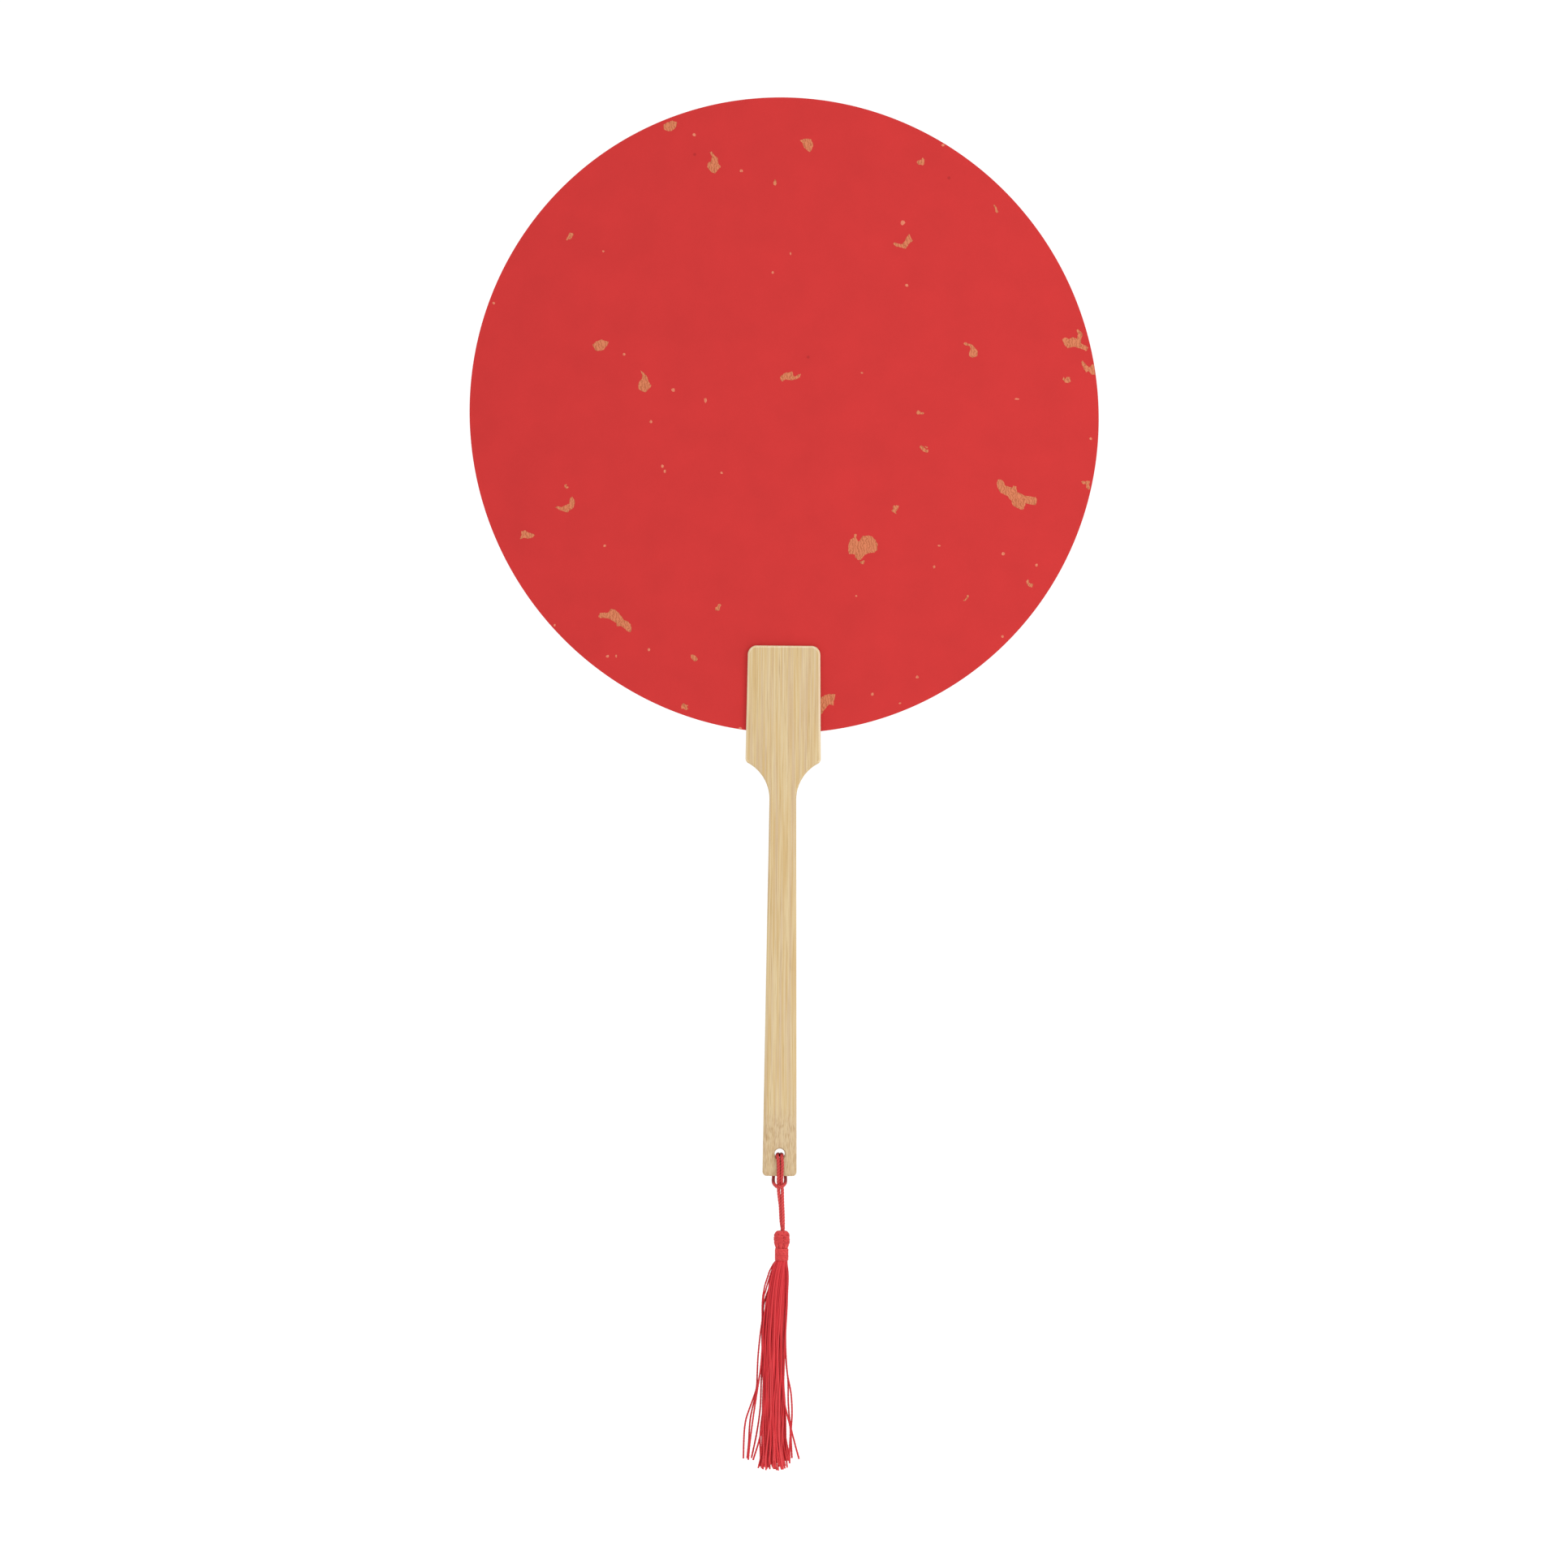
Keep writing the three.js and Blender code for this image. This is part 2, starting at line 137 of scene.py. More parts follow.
def add_node(
    tree: Tree,
    kind: str,
    inputs: dict[int | str, object],
    out: int | str = 0,
    **settings: object,
) -> Socket:
    """Add one node with its settings and links.

    Args:
        tree: the node tree that gets the node.
        kind: the node's type name.
        inputs: what goes into each input socket, by name or number: another node's socket, or a value.
        out: the output socket that is wanted, by name or number.
        settings: properties of the node itself.

    Returns:
        The output socket.
    """
    node = tree.nodes.new(kind)
    for name, value in settings.items():
        setattr(node, name, value)
    for key, value in inputs.items():
        if isinstance(value, Socket):
            tree.links.new(value, node.inputs[key])
        else:
            node.inputs[key].default_value = value
    return node.outputs[out]


def new_piece(name: str, bm: Shape, slot: Slot, *materials: Material) -> bpy.types.Object:
    """Make an object of a finished bmesh.

    Args:
        name: the piece's name.
        bm: the shape, which is freed.
        slot: the record's slot for the piece; not used.
        materials: the piece's materials, in the order of its faces' material numbers.

    Returns:
        The new object, smooth shaded, at the origin.
    """
    mesh = bpy.data.meshes.new(name)
    bm.to_mesh(mesh)
    bm.free()
    mesh.shade_smooth()
    for material in materials:
        mesh.materials.append(material)
    piece = bpy.data.objects.new(name, mesh)
    bpy.context.scene.collection.objects.link(piece)
    LOG.info("%s: %d faces", name, len(mesh.polygons))
    return piece


def join(parts: list[Shape]) -> Shape:
    """Put several shapes into one bmesh, and free them.

    Args:
        parts: the shapes.

    Returns:
        One bmesh of them all.
    """
    whole = bmesh.new()
    carrier = bpy.data.meshes.new("carrier")
    for part in parts:
        part.to_mesh(carrier)
        part.free()
        whole.from_mesh(carrier)
    bpy.data.meshes.remove(carrier)
    return whole


def thicken(bm: Shape, depth: float) -> None:
    """Extrude a flat shape along Y.

    Args:
        bm: the shape.
        depth: how far it is extruded.
    """
    grown = bmesh.ops.extrude_face_region(bm, geom=list(bm.faces))["geom"]
    moved = [item for item in grown if isinstance(item, bmesh.types.BMVert)]
    bmesh.ops.translate(bm, verts=moved, vec=(0, depth, 0))
    bmesh.ops.recalc_face_normals(bm, faces=bm.faces)


def spin_round(points: list[Vector], middle: Point, axis: Point, steps: int) -> Shape:
    """Spin a line of points a full turn.

    Args:
        points: the line, which starts and ends on the axis.
        middle: a point of the axis.
        axis: the way that the axis runs.
        steps: the faces round it.

    Returns:
        The closed round shape.
    """
    bm = bmesh.new()
    verts = [bm.verts.new(point) for point in points]
    edges = [bm.edges.new(pair) for pair in zip(verts, verts[1:])]
    bmesh.ops.spin(
        bm,
        geom=verts + edges,
        cent=middle,
        axis=axis,
        dvec=(0, 0, 0),
        angle=FULL_TURN,
        steps=steps,
        use_merge=True,
        use_duplicate=False,
    )
    bmesh.ops.remove_doubles(bm, verts=bm.verts, dist=WELD)
    bmesh.ops.recalc_face_normals(bm, faces=bm.faces)
    return bm


def smooth_route(points: list[Vector], steps: int) -> list[Vector]:
    """Run a smooth curve through points.

    Args:
        points: where the curve passes.
        steps: points laid in each stretch between two of them.

    Returns:
        Points along the curve.
    """
    ways = []
    for i, point in enumerate(points):
        before = (point - points[i - 1]).normalized() if i else Vector()
        after = (points[i + 1] - point).normalized() if i + 1 < len(points) else Vector()
        ways.append((before + after).normalized())
    route = [points[0]]
    for i in range(len(points) - 1):
        reach = (points[i + 1] - points[i]).length / 3
        handles = points[i] + ways[i] * reach, points[i + 1] - ways[i + 1] * reach
        route += interpolate_bezier(points[i], *handles, points[i + 1], steps + 1)[1:]
    return route


def even_steps(route: list[Vector], count: int) -> list[Vector]:
    """Lay points at even distances along a route.

    Args:
        route: the points that the route passes.
        count: the number of steps.

    Returns:
        count + 1 points, from the route's start to its end.
    """
    runs = [0.0]
    for here, there in zip(route, route[1:]):
        runs.append(runs[-1] + (there - here).length)
    laid = []
    stretch = 0
    for i in range(count + 1):
        run = runs[-1] * i / count
        while stretch < len(route) - 2 and runs[stretch + 1] < run:
            stretch += 1
        share = (run - runs[stretch]) / (runs[stretch + 1] - runs[stretch])
        laid.append(route[stretch].lerp(route[stretch + 1], share))
    return laid


def route_length(route: list[Vector]) -> float:
    """The length of a route."""
    return sum((there - here).length for here, there in zip(route, route[1:]))


@dataclass(frozen=True)
class Look:
    """What a pattern gives its shader: a ground, tints over it by share, and maybe relief and dullness."""

    ground: str
    tints: list[tuple[Socket, str]]
    height: Socket | None = None
    dullness: Socket | None = None


@dataclass(frozen=True)
class Finish:
    """A material of the fan: a pattern, and how dull, shiny, metallic and deep it is."""

    name: str
    roughness: float = 0.5
    specular: float = 0.5
    metallic: float = 0.0
    relief: float = 0.0
    relief_depth: float = 0.05 * MM

    def material(self) -> Material:
        """Make the material.

        Returns:
            The material, with its pattern linked to its shader.
        """
        made = bpy.data.materials.new(self.name)
        made.use_nodes = True
        tree = made.node_tree
        shader = tree.nodes["Principled BSDF"].inputs
        shader["Roughness"].default_value = self.roughness
        shader["Specular IOR Level"].default_value = self.specular
        shader["Metallic"].default_value = self.metallic
        look = self.pattern(tree, add_node(tree, "ShaderNodeTexCoord", {}, "Object"))
        colour = linear(look.ground)
        for share, tint in look.tints:
            mix = {MIX_SHARE: share, MIX_FROM: colour, MIX_TO: linear(tint)}
            colour = add_node(tree, "ShaderNodeMix", mix, MIXED, data_type="RGBA")
        tree.links.new(colour, shader["Base Color"])
        if look.dullness is not None:
            tree.links.new(look.dullness, shader["Roughness"])
        if look.height is not None:
            bump = {"Height": look.height, "Strength": self.relief, "Distance": self.relief_depth}
            tree.links.new(add_node(tree, "ShaderNodeBump", bump), shader["Normal"])
        return made

    def pattern(self, tree: Tree, place: Socket) -> Look:
        """Draw the finish's pattern.

        Args:
            tree: the material's nodes.
            place: where a point of the piece lies.

        Returns:
            What the shader gets.
        """
        raise NotImplementedError


@dataclass(frozen=True)
class DyedPaper(Finish):
    """Matte dyed paper: almost even, with a faint cloud, fine fibres and a few darker specks of pulp."""

    roughness: float = 0.82
    specular: float = 0.25
    relief: float = 0.25
    colour: str = "#BA2B2A"
    cloud_colour: str = "#C02D2C"
    cloud_width: float = 14 * MM
    cloud_range: Span = (0.5, 0.95)
    fibre_width: float = 0.5 * MM
    fibre_share: float = 0.45
    speck_colour: str = "#8A1618"
    speck_radius: float = 0.55 * MM
    speck_fade: Span = (1.4, 0.5)
    speck_strength: float = 0.45
    specks: tuple[Flat, ...] = ((-32.7 * MM, 290.8 * MM), (56.0 * MM, 283.4 * MM), (7.5 * MM, 220.5 * MM))

    def pattern(self, tree: Tree, place: Socket) -> Look:
        """Draw the cloud, the fibres and the specks.

        Args:
            tree: the material's nodes.
            place: where a point of the paper lies.

        Returns:
            The paper's tints, and its fibres as relief.
        """
        cloud = add_node(
            tree, "ShaderNodeTexNoise", {"Vector": place, "Scale": 1 / self.cloud_width, "Detail": 3}
        )
        fibre = add_node(
            tree, "ShaderNodeTexNoise", {"Vector": place, "Scale": 1 / self.fibre_width, "Detail": 4}
        )
        mottle = add_node(
            tree, "ShaderNodeMath", {0: fibre, 1: self.fibre_share, 2: cloud}, operation="MULTIPLY_ADD"
        )
        low, high = self.cloud_range
        clouded = add_node(tree, "ShaderNodeMapRange", {"Value": mottle, "From Min": low, "From Max": high})
        tints = [(clouded, self.cloud_colour)]
        flat = add_node(tree, "ShaderNodeMapping", {"Vector": place, "Scale": (1, 0, 1)})
        rim, core = [self.speck_radius * share for share in self.speck_fade]
        for x, z in self.specks:
            away = add_node(
                tree, "ShaderNodeVectorMath", {0: flat, 1: (x, 0, z)}, "Value", operation="DISTANCE"
            )
            near = add_node(
                tree,
                "ShaderNodeMapRange",
                {"Value": away, "From Min": rim, "From Max": core, "To Max": self.speck_strength},
                interpolation_type="SMOOTHSTEP",
            )
            tints.append((near, self.speck_colour))
        return Look(self.colour, tints, fibre)


@dataclass(frozen=True)
class PressedCard(Finish):
    """Pressed card seen at its cut edge: thin layers of pulp with a soft, dull surface."""

    roughness: float = 0.9
    specular: float = 0.2
    relief: float = 0.4
    colour: str = "#D8CBB2"
    layer_colour: str = "#B8A88A"
    layer_thickness: float = 0.22 * MM
    layer_range: Span = (0.35, 0.65)
    blotches_per_metre: float = 90

    def pattern(self, tree: Tree, place: Socket) -> Look:
        """Draw the card's layers.

        Args:
            tree: the material's nodes.
            place: where a point of the card lies.

        Returns:
            The card's tint, and its layers as relief.
        """
        scale = self.blotches_per_metre, 1 / self.layer_thickness, self.blotches_per_metre
        flat = add_node(tree, "ShaderNodeMapping", {"Vector": place, "Scale": scale})
        layers = add_node(tree, "ShaderNodeTexNoise", {"Vector": flat, "Scale": 1, "Detail": 3})
        low, high = self.layer_range
        share = add_node(tree, "ShaderNodeMapRange", {"Value": layers, "From Min": low, "From Max": high})
        return Look(self.layer_colour, [(share, self.colour)], layers)


@dataclass(frozen=True)
class Grain:
    """A layer of bamboo's grain: how wide and long its marks are, and where its noise starts."""

    width: float
    run: float
    start: float = 0.0


@dataclass(frozen=True)
class Uptake:
    """How a layer of grain takes its tint: the noise where that starts and is full, and the most of it."""

    start: float
    full: float
    most: float


@dataclass(frozen=True)
class SandedBamboo(Finish):
    """Bare bamboo, planed and sanded: straight fine streaks of tan, pale and greyish pink, and one node."""

    specular: float = 0.3
    relief: float = 0.3
    relief_depth: float = 0.06 * MM
    dullness: Span = (0.5, 0.68)
    tan: str = "#C2A573"
    pale: str = "#CCB78E"
    rosy: str = "#BCA388"
    vessel: str = "#9F7E4E"
    streaks: Grain = Grain(0.38 * MM, 24 * MM)
    rosy_bands: Grain = Grain(0.65 * MM, 40 * MM, 7.3)
    vessels: Grain = Grain(0.2 * MM, 11 * MM, 3.1)
    dashes: Grain = Grain(0.26 * MM, 2.8 * MM, 5.7)
    pale_streak: Uptake = Uptake(0.38, 0.62, 1.0)
    rosy_band: Uptake = Uptake(0.5, 0.66, 0.5)
    dark_vessel: Uptake = Uptake(0.58, 0.74, 0.45)
    rosy_node: Uptake = Uptake(0.0, 1.0, 0.4)
    dark_dash: Uptake = Uptake(0.52, 0.68, 0.68)
    pale_dash: Uptake = Uptake(0.47, 0.33, 0.68)
    node_middle: float = -56 * MM
    node_half: float = 11.5 * MM
    node_fade: Span = (1.5, 0.6)
    node_sway: float = 0.55 * MM
    sway_scale: Point = (900, 900, 300)

    def pattern(self, tree: Tree, place: Socket) -> Look:
        """Draw the streaks, the vessels and the node, where the grain sways and breaks into dashes.

        Args:
            tree: the material's nodes.
            place: where a point of the bamboo lies.

        Returns:
            The bamboo's tints, its streaks as relief and how dull it is.
        """
        level = add_node(tree, "ShaderNodeSeparateXYZ", {0: place}, "Z")
        past = add_node(tree, "ShaderNodeMath", {0: level, 1: self.node_middle}, operation="SUBTRACT")
        off = add_node(tree, "ShaderNodeMath", {0: past}, operation="ABSOLUTE")
        rim, core = [self.node_half * share for share in self.node_fade]
        at_node = add_node(
            tree,
            "ShaderNodeMapRange",
            {"Value": off, "From Min": rim, "From Max": core},
            interpolation_type="SMOOTHSTEP",
        )
        fine = add_node(tree, "ShaderNodeMapping", {"Vector": place, "Scale": self.sway_scale})
        swirl = add_node(tree, "ShaderNodeTexNoise", {"Vector": fine, "Scale": 1, "Detail": 1}, "Color")
        middled = add_node(
            tree, "ShaderNodeVectorMath", {0: swirl, 1: (0.5, 0.5, 0.5)}, operation="SUBTRACT"
        )
        reach = add_node(tree, "ShaderNodeMath", {0: at_node, 1: self.node_sway}, operation="MULTIPLY")
        shift = add_node(tree, "ShaderNodeVectorMath", {0: middled, "Scale": reach}, operation="SCALE")
        swayed = add_node(tree, "ShaderNodeVectorMath", {0: place, 1: shift}, operation="ADD")
        marks = []
        for grain in (self.streaks, self.rosy_bands, self.vessels, self.dashes):
            start = grain.start, grain.start, grain.start
            scale = 1 / grain.width, 1 / grain.width, 1 / grain.run
            along = add_node(tree, "ShaderNodeMapping", {"Vector": swayed, "Location": start, "Scale": scale})
            marks.append(add_node(tree, "ShaderNodeTexNoise", {"Vector": along, "Scale": 1, "Detail": 1}))
        streaks, rosy_bands, vessels, dashes = marks
        tints = []
        for noise, uptake, tint, where in (
            (streaks, self.pale_streak, self.pale, None),
            (rosy_bands, self.rosy_band, self.rosy, None),
            (vessels, self.dark_vessel, self.vessel, None),
            (at_node, self.rosy_node, self.rosy, None),
            (dashes, self.dark_dash, self.vessel, at_node),
            (dashes, self.pale_dash, self.pale, at_node),
        ):
            share = add_node(
                tree,
                "ShaderNodeMapRange",
                {"Value": noise, "From Min": uptake.start, "From Max": uptake.full, "To Max": uptake.most},
            )
            if where is not None:
                share = add_node(tree, "ShaderNodeMath", {0: share, 1: where}, operation="MULTIPLY")
            tints.append((share, tint))
        low, high = self.dullness
        dull = add_node(tree, "ShaderNodeMapRange", {"Value": vessels, "To Min": low, "To Max": high})
        return Look(self.tan, tints, streaks, dull)


@dataclass(frozen=True)
class GoldFoil(Finish):
    """Beaten gold foil on paper: warm and dull, finely wrinkled, with the paper's red in the grooves."""

    metallic: float = 0.4
    relief: float = 0.4
    relief_depth: float = 0.04 * MM
    gold: str = "#C9744E"
    groove: str = "#AE5E38"
    groove_range: Span = (0.1, 0.65)
    wrinkle: float = 0.95 * MM
    slant: float = 0.1
    wander: float = 9.0
    wander_detail: float = 2.0
    wander_scale: float = 2.2

    def pattern(self, tree: Tree, place: Socket) -> Look:
        """Draw the foil's wrinkles.

        Args:
            tree: the material's nodes.
            place: where a point of the foil lies.

        Returns:
            The foil's tint, and its wrinkles as relief.
        """
        slanted = add_node(tree, "ShaderNodeMapping", {"Vector": place, "Rotation": (0, self.slant, 0)})
        # A wave texture of scale 1 has a band every tenth of pi
        waves = {
            "Vector": slanted,
            "Scale": math.pi / 10 / self.wrinkle,
            "Distortion": self.wander,
            "Detail": self.wander_detail,
            "Detail Scale": self.wander_scale,
        }
        wrinkles = add_node(tree, "ShaderNodeTexWave", waves, "Fac")
        low, high = self.groove_range
        raised = add_node(
            tree,
            "ShaderNodeMapRange",
            {"Value": wrinkles, "From Min": low, "From Max": high},
            interpolation_type="SMOOTHSTEP",
        )
        return Look(self.groove, [(raised, self.gold)], raised)


@dataclass(frozen=True)
class SilkyTwist(Finish):
    """Twisted silky yarn: its colour on the plies' crests, painted shade in the creases, a painted pink
    highlight.
    """

    roughness: float = 0.6
    specular: float = 0.25
    crest: str = "#D5343A"
    # Painted shade: the colour that the creases between the plies are mixed towards
    crease_shade: str = "#9C0E1B"
    # Painted highlight: the pink that the brightest strands' crests are mixed towards
    painted_sheen: str = "#E2686A"
    hair_width: float = 0.25 * MM
    hair_share: float = 0.5
    ply_range: Span = (0.05, 1.1)
    painted_sheen_range: Span = (1.0, 1.4)
    painted_sheen_most: float = 0.3

    def pattern(self, tree: Tree, place: Socket) -> Look:
        """Draw the plies and hairs, the creases' painted shade and the brightest strands' painted highlight.

        Args:
            tree: the material's nodes.
            place: where a point of the yarn lies.

        Returns:
            The yarn's tints.
        """
        crest = add_node(tree, "ShaderNodeAttribute", {}, "Fac", attribute_name="crest")
        tone = add_node(tree, "ShaderNodeAttribute", {}, "Fac", attribute_name="tone")
        hair = add_node(
            tree, "ShaderNodeTexNoise", {"Vector": place, "Scale": 1 / self.hair_width, "Detail": 2}
        )
        rough = add_node(
            tree, "ShaderNodeMath", {0: hair, 1: self.hair_share, 2: crest}, operation="MULTIPLY_ADD"
        )
        # Painted shade: low crest values, in the plies' creases, are mixed towards the darker colour
        low, high = self.ply_range
        ply = add_node(tree, "ShaderNodeMapRange", {"Value": rough, "From Min": low, "From Max": high})
        toned = add_node(tree, "ShaderNodeMath", {0: ply, 1: tone}, operation="MULTIPLY")
        # Painted highlight: strands toned past the range's start are mixed towards pink
        low, high = self.painted_sheen_range
        painted_glint = add_node(
            tree,
            "ShaderNodeMapRange",
            {"Value": toned, "From Min": low, "From Max": high, "To Max": self.painted_sheen_most},
        )
        return Look(self.crease_shade, [(toned, self.crest), (painted_glint, self.painted_sheen)])


@dataclass(frozen=True)
class PaleFloor(Finish):
    """Plain matte studio floor."""

    roughness: float = 0.9
    colour: str = "#FAFAF9"
    grain_colour: str = "#FCFCFC"
    grain_width: float = 2.5 * MM

    def pattern(self, tree: Tree, place: Socket) -> Look:
        """Draw the floor's faint grain.

        Args:
            tree: the material's nodes.
            place: where a point of the floor lies.

        Returns:
            The floor's tint.
        """
        grain = add_node(
            tree, "ShaderNodeTexNoise", {"Vector": place, "Scale": 1 / self.grain_width, "Detail": 2}
        )
        return Look(self.colour, [(grain, self.grain_colour)])


@dataclass(frozen=True)
class SoftLight:
    """A square soft light: where it stands, its side and its power in watts."""

    name: str
    place: Point
    side: float
    power: float


@dataclass
class Studio:
    """Camera, light and floor."""

    picture_width: float = 546.4 * MM
    aim: Point = (0.38 * MM, -1.6 * MM, 71.6 * MM)
    lens: float = 120.0
    sensor: float = 36.0
    sight: float = 60.0
    roll: float = math.radians(-0.504)
    floor_level: float = -235 * MM
    floor_side: float = 30.0
    surround: float = 1.06
    lit_middle: Point = (0.0, 0.0, 0.12)
    lights: tuple[SoftLight, ...] = (
        SoftLight("key", (0.8, -0.9, 0.35), 0.6, 3.6),
        SoftLight("back", (-1.0, 1.4, 0.9), 0.8, 6),
    )

    def place_camera(self) -> None:
        """Set the camera square to the leaf, at the photograph's framing and slight roll."""
        data = bpy.data.cameras.new("camera")
        data.lens = self.lens
        data.sensor_width = self.sensor
        data.clip_end = self.sight
        camera = bpy.data.objects.new("camera", data)
        distance = self.picture_width * self.lens / self.sensor
        camera.location = Vector(self.aim) - Vector((0, distance, 0))
        camera.rotation_euler = math.pi / 2, self.roll, 0
        bpy.context.scene.collection.objects.link(camera)
        bpy.context.scene.camera = camera

    def lay_floor(self) -> None:
        """Lay the floor below the tassel."""
        bm = bmesh.new()
        bmesh.ops.create_grid(bm, x_segments=1, y_segments=1, size=self.floor_side / 2)
        bmesh.ops.translate(bm, verts=bm.verts, vec=(0, 0, self.floor_level))
        mesh = bpy.data.meshes.new("floor")
        bm.to_mesh(mesh)
        bm.free()
        mesh.materials.append(PaleFloor("matte pale floor").material())
        floor = bpy.data.objects.new("floor", mesh)
        bpy.context.scene.collection.objects.link(floor)

    def light(self) -> None:
        """Set an even white surround, and the soft lights from the right and from behind."""
        scene = bpy.context.scene
        scene.view_settings.view_transform = "Standard"
        world = bpy.data.worlds.new("white surround")
        world.use_nodes = True
        background = world.node_tree.nodes["Background"]
        background.inputs["Color"].default_value = (1, 1, 1, 1)
        background.inputs["Strength"].default_value = self.surround
        scene.world = world
        for soft in self.lights:
            data = bpy.data.lights.new(soft.name, "AREA")
            data.size = soft.side
            data.energy = soft.power
            light = bpy.data.objects.new(soft.name, data)
            light.location = soft.place
            facing = Vector(self.lit_middle) - Vector(soft.place)
            light.rotation_euler = facing.to_track_quat("-Z", "Y").to_euler()
            scene.collection.objects.link(light)


@dataclass(frozen=True)
class Twist:
    """A twisted strand: its plies' section, one turn's length and how dark its creases are painted as shade.
    """

    radius: float
    plies: int
    dip: float
    sides: int
    pitch: float
    steps: int
    # Painted shade: how far the creases between the plies are painted towards the darker colour
    depth: float

    def straight(self, length: float) -> Shape:
        """Extrude a straight strand up the Z axis, one ring at each whole step.

        Args:
            length: the strand's real length, which sets how far it twists.

        Returns:
            The strand, with each ring's number as its height and the plies' crests in a layer,
            which sets the painted shade of the creases.
        """
        bm = bmesh.new()
        crest = bm.verts.layers.float.new("crest")
        bm.verts.layers.float.new("tone")
        bmesh.ops.create_circle(bm, cap_ends=True, segments=self.sides, radius=self.radius)
        for vert in bm.verts:
            angle = math.atan2(vert.co.y, vert.co.x)
            hollow = 0.5 - 0.5 * math.cos(self.plies * angle)
            # Painted shade: the crest layer is low in the hollows between the plies, where the yarn is
            # painted darker
            vert[crest] = 1 - self.depth * hollow
            vert.co *= 1 - self.dip * hollow
        turn = Matrix.Rotation(FULL_TURN * length / self.pitch / self.steps, 3, "Z")
        ring = list(bm.edges)
        for _ in range(self.steps):
            made = bmesh.ops.extrude_edge_only(bm, edges=ring)["geom"]
            verts = [item for item in made if isinstance(item, bmesh.types.BMVert)]
            ring = [item for item in made if isinstance(item, bmesh.types.BMEdge)]
            bmesh.ops.rotate(bm, verts=verts, matrix=turn)
            bmesh.ops.translate(bm, verts=verts, vec=(0, 0, 1))
        bmesh.ops.contextual_create(bm, geom=ring)
        bmesh.ops.recalc_face_normals(bm, faces=bm.faces)
        return bm

    def frames(self, route: list[Vector]) -> list[Matrix]:
        """Carry a frame along a route without twisting it.

        Args:
            route: evenly spaced points.

        Returns:
            One frame at each point, its Z along the route.
        """
        carried = []
        ahead = route[1] - route[0]
        side = ahead.orthogonal().normalized()
        for i, point in enumerate(route):
            way = route[min(i + 1, len(route) - 1)] - route[max(i - 1, 0)]
            side.rotate(ahead.rotation_difference(way))
            ahead = way
            forward = way.normalized()
            side = (side - forward * side.dot(forward)).normalized()
            frame_here = Matrix((side, forward.cross(side), forward)).transposed().to_4x4()
            frame_here.translation = point
            carried.append(frame_here)
        return carried

    def bend(
        self,
        pattern: Shape,
        route: list[Vector],
        tones: Span = (1.0, 1.0),
        taper: Span = (1.0, 1.0),
        phase: float = 0.0,
    ) -> Shape:
        """Bend a copy of a straight strand along a route.

        Args:
            pattern: the straight strand.
            route: the points that the copy follows.
            tones: the copy's brightness at its two ends, as a share of its material's.
            taper: the share of its radius at its two ends.
            phase: how far its plies are turned at the start.

        Returns:
            The bent strand.
        """
        bm = pattern.copy()
        tone = bm.verts.layers.float["tone"]
        frames = self.frames(even_steps(route, self.steps))
        turn = Matrix.Rotation(phase, 2)
        for vert in bm.verts:
            number = round(vert.co.z)
            share = number / self.steps
            across = turn @ vert.co.xy * between(taper, share)
            vert.co = frames[number] @ across.to_3d()
            vert[tone] = between(tones, share)
        return bm

    def along(self, route: list[Vector], tones: Span = (1.0, 1.0), phase: float = 0.0) -> Shape:
        """Make one strand along a route.

        Args:
            route: the points that it follows.
            tones: its brightness at its two ends, as a share of its material's.
            phase: how far its plies are turned at the start.

        Returns:
            The strand.
        """
        pattern = self.straight(route_length(route))
        strand = self.bend(pattern, route, tones, phase=phase)
        pattern.free()
        return strand


@dataclass(frozen=True)
class Fleck:
    """A flake of gold on the paper, drawn on a grid whose zero is the leaf's middle."""

    at: Flat
    outline: tuple[Flat, ...]


